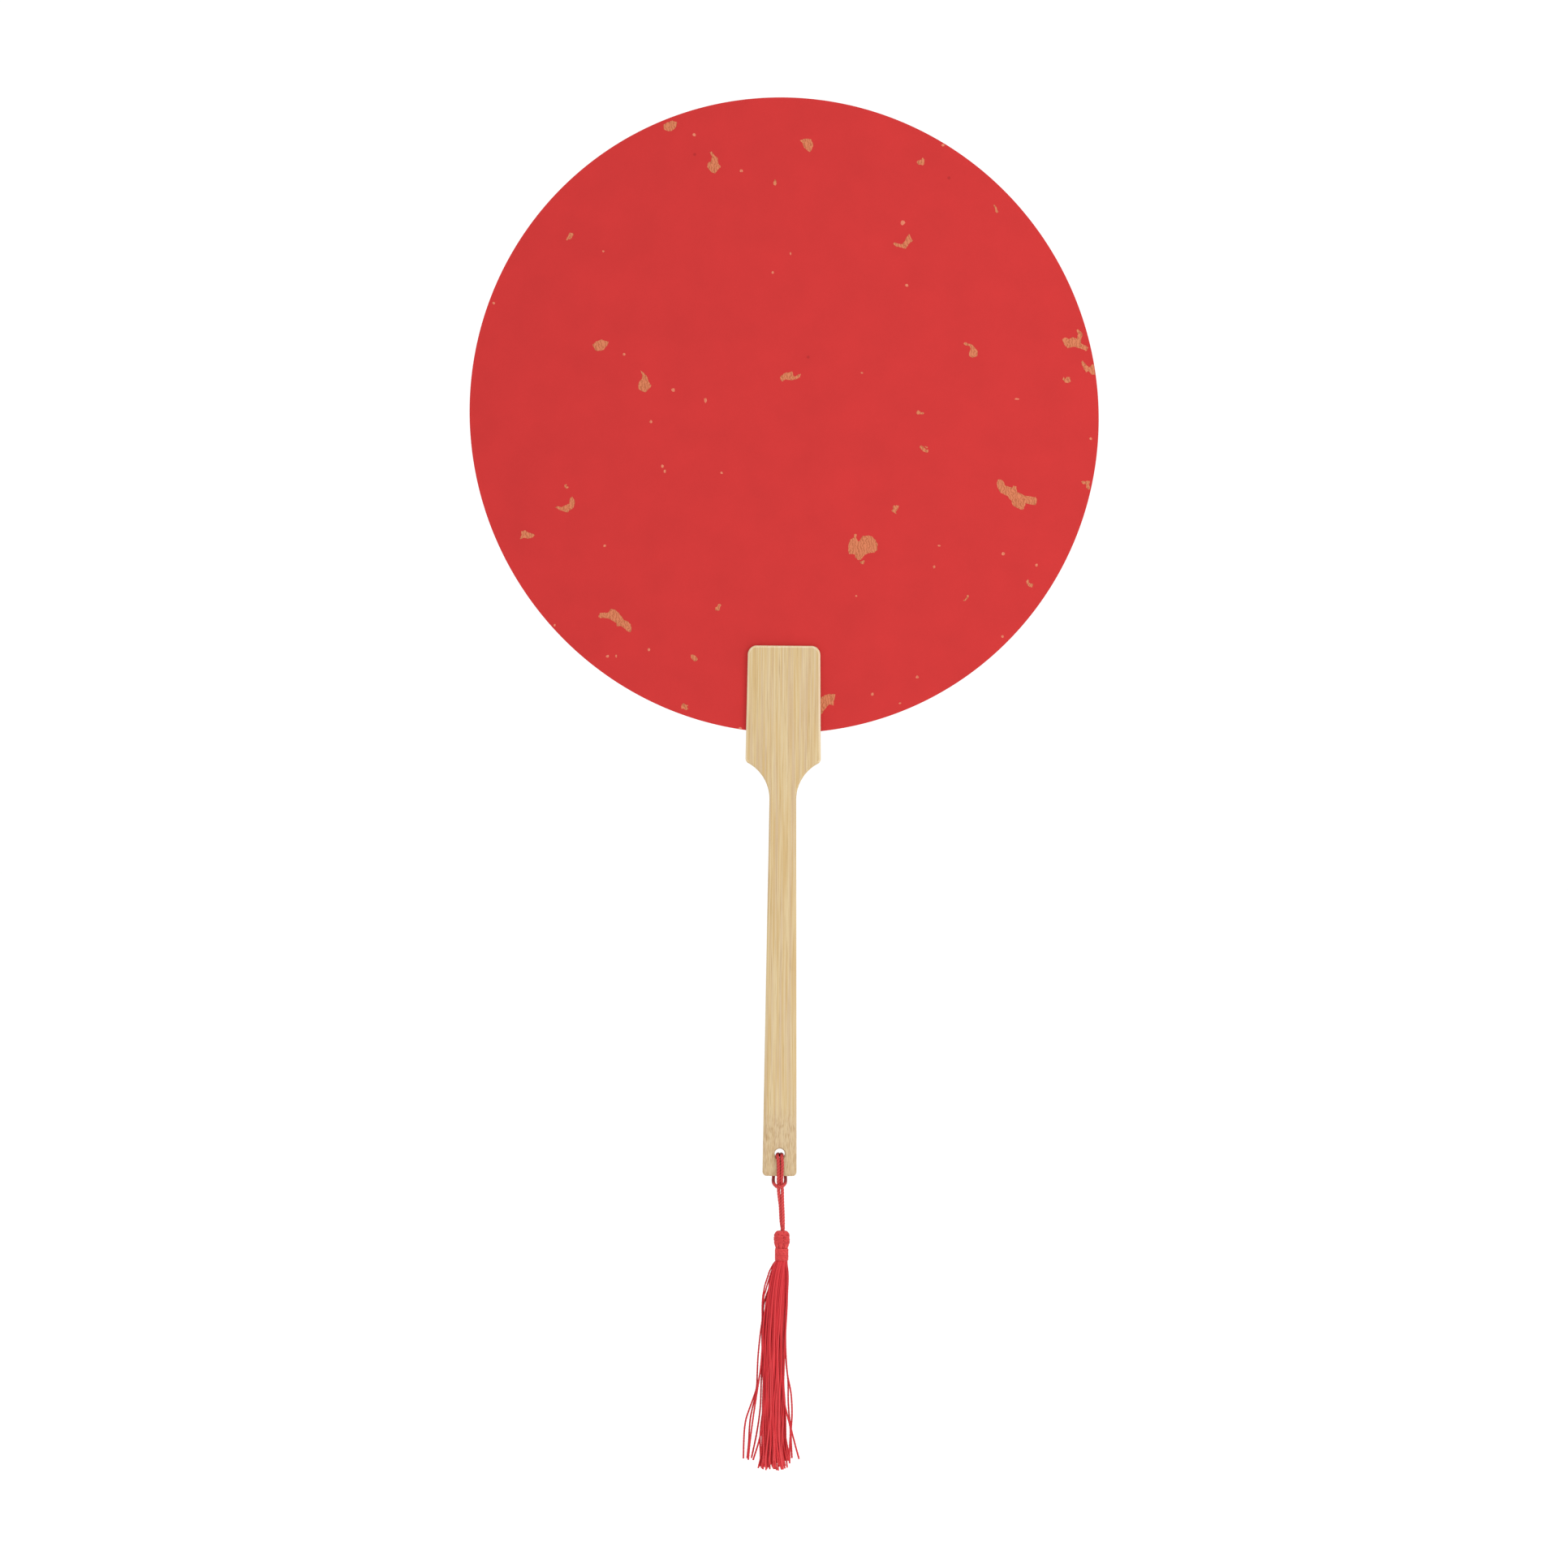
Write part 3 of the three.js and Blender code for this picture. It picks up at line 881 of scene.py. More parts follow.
# Larger flakes of the front paper, drawn on the leaf's grid
FLECKS = (
    Fleck((97, -161), (
        (-9, 15), (-8, 14), (-8, 9), (-5, 5), (0, 12), (7, 13), (12, 11), (16, 7), (18, 1), (18, -5),
        (15, -8), (6, -9), (2, -12), (-2, -17), (-5, -18), (-9, -15), (-10, -11), (-17, -10), (-18, -4),
        (-17, 4), (-15, 8), (-11, 10), (-11, 14),
    )),
    Fleck((287, -98), (
        (-21, 19), (-17, 17), (-14, 11), (-6, 9), (-4, 11), (-1, 10), (0, 3), (10, -1), (19, -3), (23, -3),
        (25, -7), (23, -13), (11, -11), (9, -16), (7, -19), (-1, -16), (-6, -12), (-7, -7), (-12, -2),
        (-20, 2), (-23, 7), (-25, 13), (-24, 18),
    )),
    Fleck((-208, -253), (
        (-21, 5), (-19, 9), (-14, 10), (-12, 9), (-8, 10), (-6, 14), (0, 13), (4, 9), (8, 4), (10, 1),
        (14, -1), (19, -5), (20, -11), (19, -14), (16, -14), (11, -10), (7, -7), (2, -7), (1, -3), (-4, 0),
        (-10, 3), (-19, 3),
    )),
    Fleck((54, -354), (
        (-9, 6), (-3, 9), (2, 10), (9, 10), (9, 7), (7, 1), (7, -4), (2, -2), (0, -4), (-5, -10), (-8, -15),
        (-11, -14), (-12, -2), (-11, 5),
    )),
    Fleck((359, 93), (
        (3, 13), (7, 10), (9, 7), (7, 1), (7, -5), (13, -7), (16, -10), (13, -14), (6, -11), (0, -9),
        (-10, -10), (-14, -6), (-16, 1), (-12, 3), (-8, 1), (-3, 3), (2, 1), (3, 7), (1, 12),
    )),
    Fleck((377, 58), (
        (-11, 8), (-9, 9), (-5, 4), (-1, 1), (4, 5), (7, 4), (8, -8), (2, -8), (-1, -4), (-5, -5), (-7, -2),
        (-9, 2),
    )),
    Fleck((8, 48), (
        (-13, -2), (-11, 1), (-7, 4), (-1, 5), (2, 6), (3, 1), (5, -1), (9, 2), (13, 3), (11, -1), (7, -4),
        (1, -5), (-6, -4), (-10, -6), (-12, -5),
    )),
    Fleck((-173, 41), (
        (-4, 14), (-2, 13), (2, 9), (5, 5), (6, 0), (9, -4), (9, -6), (5, -9), (2, -13), (-3, -11), (-6, -9),
        (-7, -4), (-5, 1), (-2, 4), (-2, 9),
    )),
    Fleck((-87, 310), (
        (-5, 14), (-2, 15), (1, 10), (5, 7), (6, 0), (9, -4), (6, -7), (2, -12), (-2, -11), (-6, -7),
        (-8, -3), (-7, 1), (-3, 3), (-2, 9),
    )),
    Fleck((-226, 87), ((-10, 0), (-6, 4), (1, 6), (10, 3), (7, -2), (4, -6), (-2, -8), (-7, -7), (-9, -3))),
    Fleck((-141, 357), ((-8, 1), (-3, 4), (3, 6), (9, 4), (8, -1), (6, -4), (2, -7), (-2, -7), (-7, -5))),
    Fleck((28, 333), (
        (-9, 6), (-5, 7), (0, 8), (5, 7), (8, 0), (6, -5), (4, -9), (0, -6), (-4, -3), (-5, 2),
    )),
    Fleck((146, 214), (
        (-12, -3), (-10, -1), (-4, -3), (0, -3), (3, 1), (6, 7), (8, 9), (10, 7), (11, 3), (13, 1), (10, -1),
        (6, -5), (4, -9), (0, -8), (-8, -6),
    )),
    Fleck((-269, -110), (
        (-13, -4), (-11, -2), (-5, -3), (0, -1), (4, 1), (5, 7), (8, 10), (10, 6), (11, 1), (9, -4), (4, -8),
        (2, -10), (-7, -7),
    )),
    Fleck((-317, -147), (
        (-9, -6), (-7, -1), (-7, 4), (-2, 5), (2, 2), (7, 1), (10, -1), (6, -4), (1, -5), (-4, -4),
    )),
    Fleck((231, 81), (
        (-10, 7), (-8, 9), (-4, 7), (1, 6), (5, 1), (8, -3), (7, -8), (1, -10), (-3, -8), (-3, -4), (-1, 0),
        (-2, 4), (-7, 5),
    )),
    Fleck((96, -181), ((-3, 0.3), (0, 1), (3, 2.6), (3, 0.3), (1.7, -3), (-1, -2))),
    Fleck((168, 313), (
        (-4.6, -1), (-3, 1), (0.6, 1.7), (2.6, 4.6), (5, 2.3), (5, -0.6), (4.3, -3.7), (3, -5), (0.6, -4.3),
        (-3, -4),
    )),
    Fleck((-265, 221), (
        (0.3, 4), (3, 3.4), (5, 3.7), (5.4, 1.4), (3.7, -1.7), (1.4, -4.3), (-1, -4), (-2.6, -5.7),
        (-3.7, -5), (-2.6, -1.7), (-1, 0.3),
    )),
    Fleck((172, -42), (
        (-5, 2), (-4.4, 4), (-2.8, 5), (-2, 4), (-0.3, 3.4), (0.8, 2), (2.6, 0), (4, -0.4), (5.6, 0),
        (5.7, -2.4), (5, -4.2), (3.2, -4.2), (0.8, -3.3), (-1.2, -2.4), (-2.6, -0.4), (-4.4, 1),
    )),
    Fleck((172, -42), ((1, 4), (2.6, 3.4), (4, 3.4), (5.2, 2), (4, 1), (2.6, 2))),
    Fleck((166, 3), (
        (-3, 1), (-1, 3), (1.4, 2), (3, 0), (5, 1), (6.6, -0.6), (5, -2), (2.3, -1.7), (-1, -2.3), (-3, -1),
    )),
    Fleck((137, -116), (
        (-2.6, 4), (-1.2, 5), (0.3, 4), (1.4, 4.8), (3.2, 4.4), (5, 4.6), (4.3, 2.8), (3.5, 0.8), (2, -1.2),
        (0.8, -2.3), (1, -4), (1.7, -6), (0, -5.2), (-1.7, -4), (-4, -2.8), (-4.8, -1.7), (-3, -0.3),
        (-2.4, 1.2), (-3, 2.6),
    )),
    Fleck((348, 44), (
        (-5, 0.6), (-3.4, 3), (-1.4, 0.6), (0.3, 3), (4.3, 3), (4.6, -0.6), (6, -2.3), (4.3, -3), (1.7, -4.6),
        (-1.7, -3.7), (-3.4, -1.4),
    )),
    Fleck((372, -86), (
        (-5.5, 4), (-4, 5), (-2, 4.4), (-0.3, 4.4), (1.4, 5), (3.2, 5), (5, 4.8), (5, 3), (4, 1.2), (4, -0.6),
        (4.6, -2.3), (5, -4), (4.3, -5.7), (2.6, -5.5), (1, -4), (0, -2.6), (0.6, -1), (0.3, 0.3),
        (-0.8, 1.2), (-2, 0.8), (-3.7, 1.2), (-4.8, 2.6),
    )),
    Fleck((303, -208), (
        (-4.7, 2.8), (-3.6, 5), (-2.2, 5.5), (-1.3, 4), (-1.8, 2.3), (-0.7, 1.2), (1.3, 0.5), (3, 0.3),
        (4.2, -0.8), (3.3, -2.6), (2.7, -4.4), (1, -4), (-1.3, -3.2), (-2.5, -1.5), (-3.6, 0),
    )),
    Fleck((-82, -236), (
        (0.6, 3), (3, 3.4), (4.6, 1.7), (3, -0.6), (2.6, -4.6), (0, -5), (-3, -4.3), (-2.6, -1), (-0.3, 0),
    )),
    Fleck((-112, -299), (
        (-3.4, 3.4), (0, 3.7), (3, 2), (5.4, -1.7), (4.6, -3.7), (1.7, -4.6), (-1, -2.3), (-3, 0.6),
    )),
    Fleck((-123, -359), (
        (-4, 0), (-3, 2.3), (-1, 4.3), (1, 2.3), (5, 1.4), (3, -0.6), (5, -3), (1.7, -5), (-1, -2.6),
        (-3.7, -3),
    )),
    Fleck((-11, 287), ((-0.3, 4), (1.4, 1.7), (1.7, -1.7), (0.3, -4), (-2, -3), (-2.6, -0.6), (-1.4, 1.7))),
    Fleck((261, 254), (
        (-3, 5.4), (-1.4, 5), (1, 1.7), (2, -1), (3, -3.7), (1, -5), (-0.6, -3), (-1, 1), (-2.6, 3.7),
    )),
    Fleck((223, -226), (
        (2.3, 4), (4.3, 4.6), (4.6, 2.3), (3, -0.3), (0, -3), (-2.3, -3), (-1.7, -2), (1, 0), (2, 2),
    )),
    Fleck((-269, -87), ((-2, 1), (1, 2), (1, 0.3), (0.3, -1), (3, -1), (3.4, -2.3), (1, -3.7), (-1.4, -2.3))),
)

# Crumbs of foil: across and up from the leaf's middle, width and height, in grid steps
CRUMBS = (
    (-97, 18, 3, 6), (-137, 31, 4, 4), (-197, 75, 3, 3), (146, 237, 5, 5), (-150, -63, 3, 3.5),
    (-147, -69, 2.5, 4), (287, 20, 5, 2), (-54, -386, 4, 2.5), (-53, 301, 4, 3), (-111, 346, 4, 4),
    (-14, 176, 3, 3), (151, 160, 4, 3), (8, 199, 2, 3), (96, 52, 3, 2), (-164, -8, 3, 3), (-77, -71, 3, 3),
    (-221, -161, 3, 3), (89, -223, 3, 2), (191, -161, 3, 2), (185, -187, 3, 3), (270, -171, 4, 3),
    (311, -185, 3, 3), (-218, -297, 3, 3), (-207, -297, 2, 3), (-167, -289, 3, 3), (164, -323, 3, 3),
    (109, -344, 3, 4), (143, -355, 3, 2), (269, -273, 3, 3), (378, -29, 3, 3), (-358, 138, 3, 3),
    (-223, 202, 3, 2), (-283, -259, 3, 3), (196, 333, 4, 3),
)


@dataclass
class Leaf:
    """The round leaf: a card core, a paper on each face and gold flecks on the papers."""

    half_long: float = 111.1 * MM
    half_short: float = 109.4 * MM
    lean: float = math.radians(25)
    middle: Flat = (-0.7 * MM, 200.19 * MM)
    card: float = 1.1 * MM
    paper: float = 0.2 * MM
    sides: int = 360
    rim_ease: float = 0.05 * MM
    rim_segments: int = 2
    rim_fold: float = math.radians(57)
    sharp_fold: float = math.radians(30)
    grid: float = 0.2828 * MM
    front_turn: float = math.radians(0.504)
    back_turn: float = math.radians(143)
    front_seed: int = 11
    back_seed: int = 12
    foil: float = 0.025 * MM
    foil_sunk: float = 0.01 * MM
    foil_cuts: int = 2
    rim_margin: float = 0.15 * MM
    ragged_share: float = 0.02
    ragged_most: float = 0.45
    crumb_corners: int = 7
    crumb_growth: float = 1.25
    crumb_stretch: Span = (0.7, 1.15)
    crumb_ragged: float = 0.15

    def layer(self, low: float, high: float) -> Shape:
        """Make one layer of the leaf.

        Args:
            low: where the layer's front lies along Y.
            high: where its back lies.

        Returns:
            The layer's shape.
        """
        bm = bmesh.new()
        bmesh.ops.create_circle(bm, cap_ends=True, segments=self.sides, radius=1)
        bmesh.ops.scale(bm, verts=bm.verts, vec=(self.half_short, self.half_long, 1))
        bmesh.ops.rotate(bm, verts=bm.verts, matrix=Matrix.Rotation(self.lean, 3, "Z"))
        bmesh.ops.rotate(bm, verts=bm.verts, matrix=Matrix.Rotation(math.pi / 2, 3, "X"))
        bmesh.ops.translate(bm, verts=bm.verts, vec=(self.middle[0], low, self.middle[1]))
        thicken(bm, high - low)
        rims = [edge for edge in bm.edges if edge.calc_face_angle() > self.rim_fold]
        bmesh.ops.bevel(
            bm,
            geom=rims,
            offset=self.rim_ease,
            segments=self.rim_segments,
            profile=0.5,
            affect="EDGES",
            material=-1,
        )
        return bm

    def inside(self, place: Vector) -> Vector:
        """Pull a point of the leaf's plane in to just inside the rim.

        Args:
            place: a point from the leaf's middle.

        Returns:
            The point, or the nearest one along its own line that is inside the rim.
        """
        upright = place.copy()
        upright.rotate(Matrix.Rotation(-self.lean, 2))
        across = upright.x / (self.half_short - self.rim_margin)
        along = upright.y / (self.half_long - self.rim_margin)
        return place / max(math.hypot(across, along), 1)

    def flake(self, points: list[Flat], face: Face, rng: random.Random, ragged: float) -> Shape:
        """Cut one flake of foil and lay it on a paper.

        Args:
            points: its outline from the leaf's middle, in grid steps.
            face: the face of the leaf that it lies on.
            rng: draws the raggedness.
            ragged: how far the edge wanders, in grid steps.

        Returns:
            The flake's shape.
        """
        bm = bmesh.new()
        bm.faces.new([bm.verts.new((x, y, 0)) for x, y in points])
        bmesh.ops.subdivide_edges(bm, edges=bm.edges, cuts=self.foil_cuts)
        turn = Matrix.Rotation(self.front_turn if face is Face.FRONT else self.back_turn, 2)
        for vert in bm.verts:
            wander = Vector((rng.uniform(-ragged, ragged), rng.uniform(-ragged, ragged)))
            place = (vert.co.xy + wander) * self.grid
            place.rotate(turn)
            place = self.inside(place)
            vert.co = place.x + self.middle[0], 0, place.y + self.middle[1]
        bm.normal_update()
        bmesh.ops.triangulate(bm, faces=bm.faces, ngon_method="EAR_CLIP")
        bed = self.card / 2 + self.paper - self.foil_sunk
        bmesh.ops.translate(bm, verts=bm.verts, vec=(0, face.value * bed, 0))
        thicken(bm, face.value * (self.foil + self.foil_sunk))
        return bm

    def crumb(self, size: Flat, at: Flat, rng: random.Random) -> list[Flat]:
        """Draw the outline of one crumb of foil.

        Args:
            size: its width and height, in grid steps.
            at: where it lies from the leaf's middle, in grid steps.
            rng: draws its corners.

        Returns:
            The outline's corners.
        """
        corners = []
        for corner in range(self.crumb_corners):
            angle = FULL_TURN * corner / self.crumb_corners
            reach = rng.uniform(*self.crumb_stretch) * self.crumb_growth / 2
            across = reach * size[0] * math.cos(angle)
            corners.append((at[0] + across, at[1] + reach * size[1] * math.sin(angle)))
        return corners

    def flecks(self, face: Face) -> Shape:
        """Scatter the flakes of one face.

        Args:
            face: the face of the leaf.

        Returns:
            All its flakes in one shape, with the crumbs in the second material.
        """
        rng = random.Random(self.front_seed if face is Face.FRONT else self.back_seed)
        flakes = []
        for fleck in FLECKS:
            points = [(fleck.at[0] + x, fleck.at[1] + y) for x, y in fleck.outline]
            width = max(x for x, _ in points) - min(x for x, _ in points)
            ragged = min(self.ragged_most, self.ragged_share * width)
            flakes.append(self.flake(points, face, rng, ragged))
        for x, y, width, height in CRUMBS:
            points = self.crumb((width, height), (x, y), rng)
            crumb = self.flake(points, face, rng, self.crumb_ragged)
            for side in crumb.faces:
                side.material_index = 1
            flakes.append(crumb)
        return join(flakes)

    def build(self) -> None:
        """Build the core, the papers and the flecks."""
        half = self.card / 2
        outer = half + self.paper
        card = PressedCard("pressed card").material()
        paper = DyedPaper("dyed paper").material()
        foil = GoldFoil("beaten gold foil").material()
        crumbs = GoldFoil("crumbs of gold foil", gold="#D4785C", groove="#C4684A").material()
        core = new_piece("card_core", self.layer(-half, half), Slot.CARD, card)
        core.data.set_sharp_from_angle(angle=self.sharp_fold)
        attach(core, Body.FAN.value)
        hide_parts("leaf_core")
        for face, node, low, high in (
            (Face.FRONT, "front_paper", -outer, -half),
            (Face.BACK, "back_paper", half, outer),
        ):
            sheet = new_piece(f"red_{node}", self.layer(low, high), Slot.PAPER, paper)
            sheet.data.set_sharp_from_angle(angle=self.sharp_fold)
            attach(sheet, Body.FAN.value)
            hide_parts(node)
            gold = new_piece(
                f"gold_flecks_{face.name.lower()}", self.flecks(face), Slot.PAPER, foil, crumbs
            )
            gold.data.set_sharp_from_angle(angle=self.sharp_fold)
            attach(gold, Body.FAN.value)


@dataclass
class BambooHandle:
    """The flat bamboo handle: head with a kerf for the leaf, hollow shoulders, shaft and drilled tail."""

    thickness: float = 5 * MM
    head_top: float = 119.8 * MM
    head_top_half: float = 12.6 * MM
    head_low_half: float = 13.15 * MM
    head_corner: float = 3.1 * MM
    shoulder: float = 14.3 * MM
    shoulder_ease: float = 1.1 * MM
    shoulder_steps: int = 24
    neck_level: float = 66.2 * MM
    neck_half: float = 4.675 * MM
    tail: float = -65 * MM
    tail_half: float = 5.95 * MM
    tail_corner: float = 1.5 * MM
    corner_segments: int = 10
    edge_ease: float = 0.7 * MM
    edge_segments: int = 4
    kerf_floor: float = 89.1 * MM
    kerf_width: float = 1.7 * MM
    hole_level: float = -57.2 * MM
    hole_radius: float = 1.75 * MM
    hole_ease: float = 0.5 * MM
    hole_steps: int = 64
    sharp_fold: float = math.radians(28)

    def slat(self) -> Shape:
        """Cut the slat's outline and give it thickness and eased edges.

        Returns:
            The slat, without its kerf and hole, with the head's eased edges in the second material,
            which paints a highlight on them.
        """
        bm = bmesh.new()
        front = -self.thickness / 2
        hollow = self.neck_half + self.shoulder
        meeting = math.acos((hollow - self.head_low_half) / self.shoulder)
        corner_level = self.neck_level + self.shoulder * math.sin(meeting)
        foot = bm.verts.new((0, front, self.tail))
        tail = bm.verts.new((self.tail_half, front, self.tail))
        neck = bm.verts.new((self.neck_half, front, self.neck_level))
        spun = bmesh.ops.spin(
            bm,
            geom=[neck],
            cent=(hollow, front, self.neck_level),
            axis=(0, 1, 0),
            dvec=(0, 0, 0),
            angle=meeting - self.shoulder_ease / self.shoulder,
            steps=self.shoulder_steps,
            use_merge=False,
            use_duplicate=False,
        )["geom_last"]
        end = next(item for item in spun if isinstance(item, bmesh.types.BMVert))
        low = bm.verts.new((self.head_low_half, front, corner_level))
        top = bm.verts.new((self.head_top_half, front, self.head_top))
        crown = bm.verts.new((0, front, self.head_top))
        for pair in ((foot, tail), (tail, neck), (end, low), (low, top), (top, crown)):
            bm.edges.new(pair)
        for vert, ease in ((tail, self.tail_corner), (low, self.shoulder_ease), (top, self.head_corner)):
            bmesh.ops.bevel(
                bm,
                geom=[vert],
                offset=ease,
                segments=self.corner_segments,
                profile=0.5,
                affect="VERTICES",
                material=-1,
            )
        bmesh.ops.mirror(bm, geom=bm.verts[:] + bm.edges[:], axis="X", merge_dist=WELD)
        bmesh.ops.remove_doubles(bm, verts=bm.verts, dist=WELD)
        bmesh.ops.contextual_create(bm, geom=bm.edges)
        thicken(bm, self.thickness)
        rims = [edge for edge in bm.edges if abs(edge.verts[0].co.y - edge.verts[1].co.y) < WELD]
        eased_faces = bmesh.ops.bevel(
            bm,
            geom=rims,
            offset=self.edge_ease,
            segments=self.edge_segments,
            profile=0.5,
            affect="EDGES",
            material=-1,
        )["faces"]
        # Painted highlight: the head's eased edges take the lighter edge material
        for face in eased_faces:
            face.material_index = int(face.calc_center_median().z > corner_level)
        return bm

    def kerf(self) -> Shape:
        """Make the saw kerf's shape.

        Returns:
            A block that is open at the head's top and sides.
        """
        bm = bmesh.new()
        height = 2 * (self.head_top - self.kerf_floor)
        bmesh.ops.create_cube(bm, size=1)
        bmesh.ops.scale(bm, verts=bm.verts, vec=(4 * self.head_low_half, self.kerf_width, height))
        bmesh.ops.translate(bm, verts=bm.verts, vec=(0, 0, self.kerf_floor + height / 2))
        return bm

    def drill(self) -> Shape:
        """Spin the hole's shape.

        Returns:
            A round bar with a wider end at each face, which eases the hole's mouths.
        """
        face = self.thickness / 2
        past = face + self.hole_ease
        wide = self.hole_radius + 2 * self.hole_ease
        profile = (
            (0, -past),
            (wide, -past),
            (self.hole_radius, self.hole_ease - face),
            (self.hole_radius, face - self.hole_ease),
            (wide, past),
            (0, past),
        )
        points = [Vector((radius, y, self.hole_level)) for radius, y in profile]
        return spin_round(points, (0, 0, self.hole_level), (0, 1, 0), self.hole_steps)

    def cut(self, piece: bpy.types.Object, name: str, shape: Shape) -> None:
        """Cut a shape out of a piece.

        Args:
            piece: the piece, whose mesh is replaced.
            name: what the cut is called.
            shape: what is taken out, which is freed.
        """
        mesh = bpy.data.meshes.new(name)
        shape.to_mesh(mesh)
        shape.free()
        cutter = bpy.data.objects.new(name, mesh)
        bpy.context.scene.collection.objects.link(cutter)
        modifier = piece.modifiers.new(name, "BOOLEAN")
        modifier.operation = "DIFFERENCE"
        modifier.solver = "EXACT"
        modifier.object = cutter
        before = piece.data
        evaluated = piece.evaluated_get(bpy.context.evaluated_depsgraph_get())
        after = bpy.data.meshes.new_from_object(evaluated)
        piece.modifiers.clear()
        piece.data = after
        after.name = piece.name
        bpy.data.meshes.remove(before)
        bpy.data.objects.remove(cutter)
        bpy.data.meshes.remove(mesh)

    def build(self) -> None:
        """Build the handle and dress it."""
        bamboo = SandedBamboo("sanded bamboo").material()
        # Painted highlight: a lighter copy of the bamboo for the head's eased edges
        edge = SandedBamboo(
            "sanded bamboo edge painted highlight", tan="#D2BA8E", pale="#DAC9AB", rosy="#D0BBA4", vessel="#BC9D70"
        ).material()
        handle = new_piece("bamboo_slat", self.slat(), Slot.BAMBOO, bamboo, edge)
        self.cut(handle, "kerf", self.kerf())
        self.cut(handle, "hole", self.drill())
        handle.data.shade_smooth()
        handle.data.set_sharp_from_angle(angle=self.sharp_fold)
        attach(handle, Body.FAN.value)
        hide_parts("bamboo_handle")


@dataclass
class HangingCord:
    """The red cord, one piece from the tassel's knot up, through the hitch at the tail and down again."""

    diameter: float = 1.15 * MM
    crest_share: float = 0.54
    plies: int = 3
    ply_dip: float = 0.14
    # Painted shade: how dark the creases between the cord's plies are painted
    ply_shade_depth: float = 0.8
    sides: int = 12
    pitch: float = 3.2 * MM
    steps: int = 440
    root_steps: int = 18
    stretch_steps: int = 10
    seam: float = -82.2 * MM
    bend: Span = (-69.0 * MM, -72.0 * MM)
    root_bend: Span = (-82.4 * MM, -84.4 * MM)
    pivot: Flat = (0.0, -3.05 * MM)
    # Painted shade: the cord is darkened in the hole and under the tail, out to these distances from the
    # leaf's plane
    hole_shade_span: Span = (2.3 * MM, 3.2 * MM)
    painted_light_below: float = -69.0 * MM
    hole_shade_tone: float = 0.45
    # Painted light: the free strands below are brightened, which also mixes in the painted highlight
    free_light_tone: float = 1.3
    # Points of the cord's line, in metres
    front_right: tuple[Point, ...] = (
        (0.00086, -0.00305, -0.06825),
        (0.00074, -0.00312, -0.0668),
        (0.0008, -0.0032, -0.065),
        (0.0009, -0.0032, -0.0626),
        (0.00094, -0.0032, -0.0606),
        (0.00086, -0.0032, -0.05935),
    )
    front_left: tuple[Point, ...] = (
        (-0.00026, -0.00305, -0.06825),
        (-0.00036, -0.00312, -0.0668),
        (-0.00034, -0.0032, -0.065),
        (-0.00034, -0.0032, -0.0626),
        (-0.0004, -0.0032, -0.0606),
        (-0.00048, -0.0032, -0.05935),
    )
    loop_half: tuple[Point, ...] = (
        (0.0007, -0.00297, -0.05832),
        (0.00084, -0.002, -0.05777),
        (0.00074, -0.0004, -0.0576),
        (0.0005, 0.0012, -0.05758),
        (0.00046, 0.0022, -0.05782),
        (0.00054, 0.00297, -0.05837),
        (0.0007, 0.0032, -0.05935),
        (0.00095, 0.0032, -0.0612),
        (0.0015, 0.0032, -0.0633),
        (0.00195, 0.00318, -0.0649),
        (0.00212, 0.0023, -0.0662),
        (0.00212, 0.0002, -0.0669),
        (0.00198, -0.0019, -0.06745),
        (0.0015, -0.0036, -0.06803),
        (0.00082, -0.0044, -0.06848),
    )
    loop_front: Point = (0.0001, -0.00465, -0.06862)
    pendant_right: tuple[Point, ...] = (
        (0.00102, -0.00305, -0.0696),
        (0.0011, -0.00325, -0.0723),
        (0.00122, -0.00348, -0.0751),
        (0.00138, -0.00358, -0.0779),
        (0.00146, -0.00364, -0.0807),
        (0.00146, -0.00366, -0.083),
    )
    pendant_left: tuple[Point, ...] = (
        (-0.00028, -0.00305, -0.0696),
        (-0.00002, -0.00285, -0.0723),
        (0.00036, -0.00262, -0.0751),
        (0.00054, -0.00252, -0.0779),
        (0.00072, -0.00246, -0.0807),
        (0.0011, -0.00244, -0.083),
    )
    root_right: tuple[Point, ...] = ((0.0014, -0.00358, -0.0842), (0.0012, -0.0035, -0.0856))
    root_left: tuple[Point, ...] = ((0.00116, -0.00252, -0.0842), (0.0011, -0.0026, -0.0856))

    def route(self) -> list[Vector]:
        """Lay the whole cord's line.

        Returns:
            Points from the right root up to the loop and down to the left root.
        """
        right = [*self.root_right[::-1], *self.pendant_right[::-1], *self.front_right, *self.loop_half]
        mirrored = [(-x, y, z) for x, y, z in self.loop_half[::-1]]
        left = [*mirrored, *self.front_left[::-1], *self.pendant_left, *self.root_left]
        points = [*right, self.loop_front, *left]
        return smooth_route([Vector(point) for point in points], self.stretch_steps)

    def shade(self, strand: Shape) -> None:
        """Paint shade on the cord in the hole and under the tail, and paint light on its free strands.

        Args:
            strand: the cord's shape.
        """
        tone = strand.verts.layers.float["tone"]
        start, end = self.hole_shade_span
        for vert in strand.verts:
            # Painted shade near the leaf's plane, painted light on the free strands below
            out = min(max((abs(vert.co.y) - start) / (end - start), 0), 1)
            vert[tone] = between((self.hole_shade_tone, 1), out)
            if vert.co.z < self.painted_light_below:
                vert[tone] = self.free_light_tone

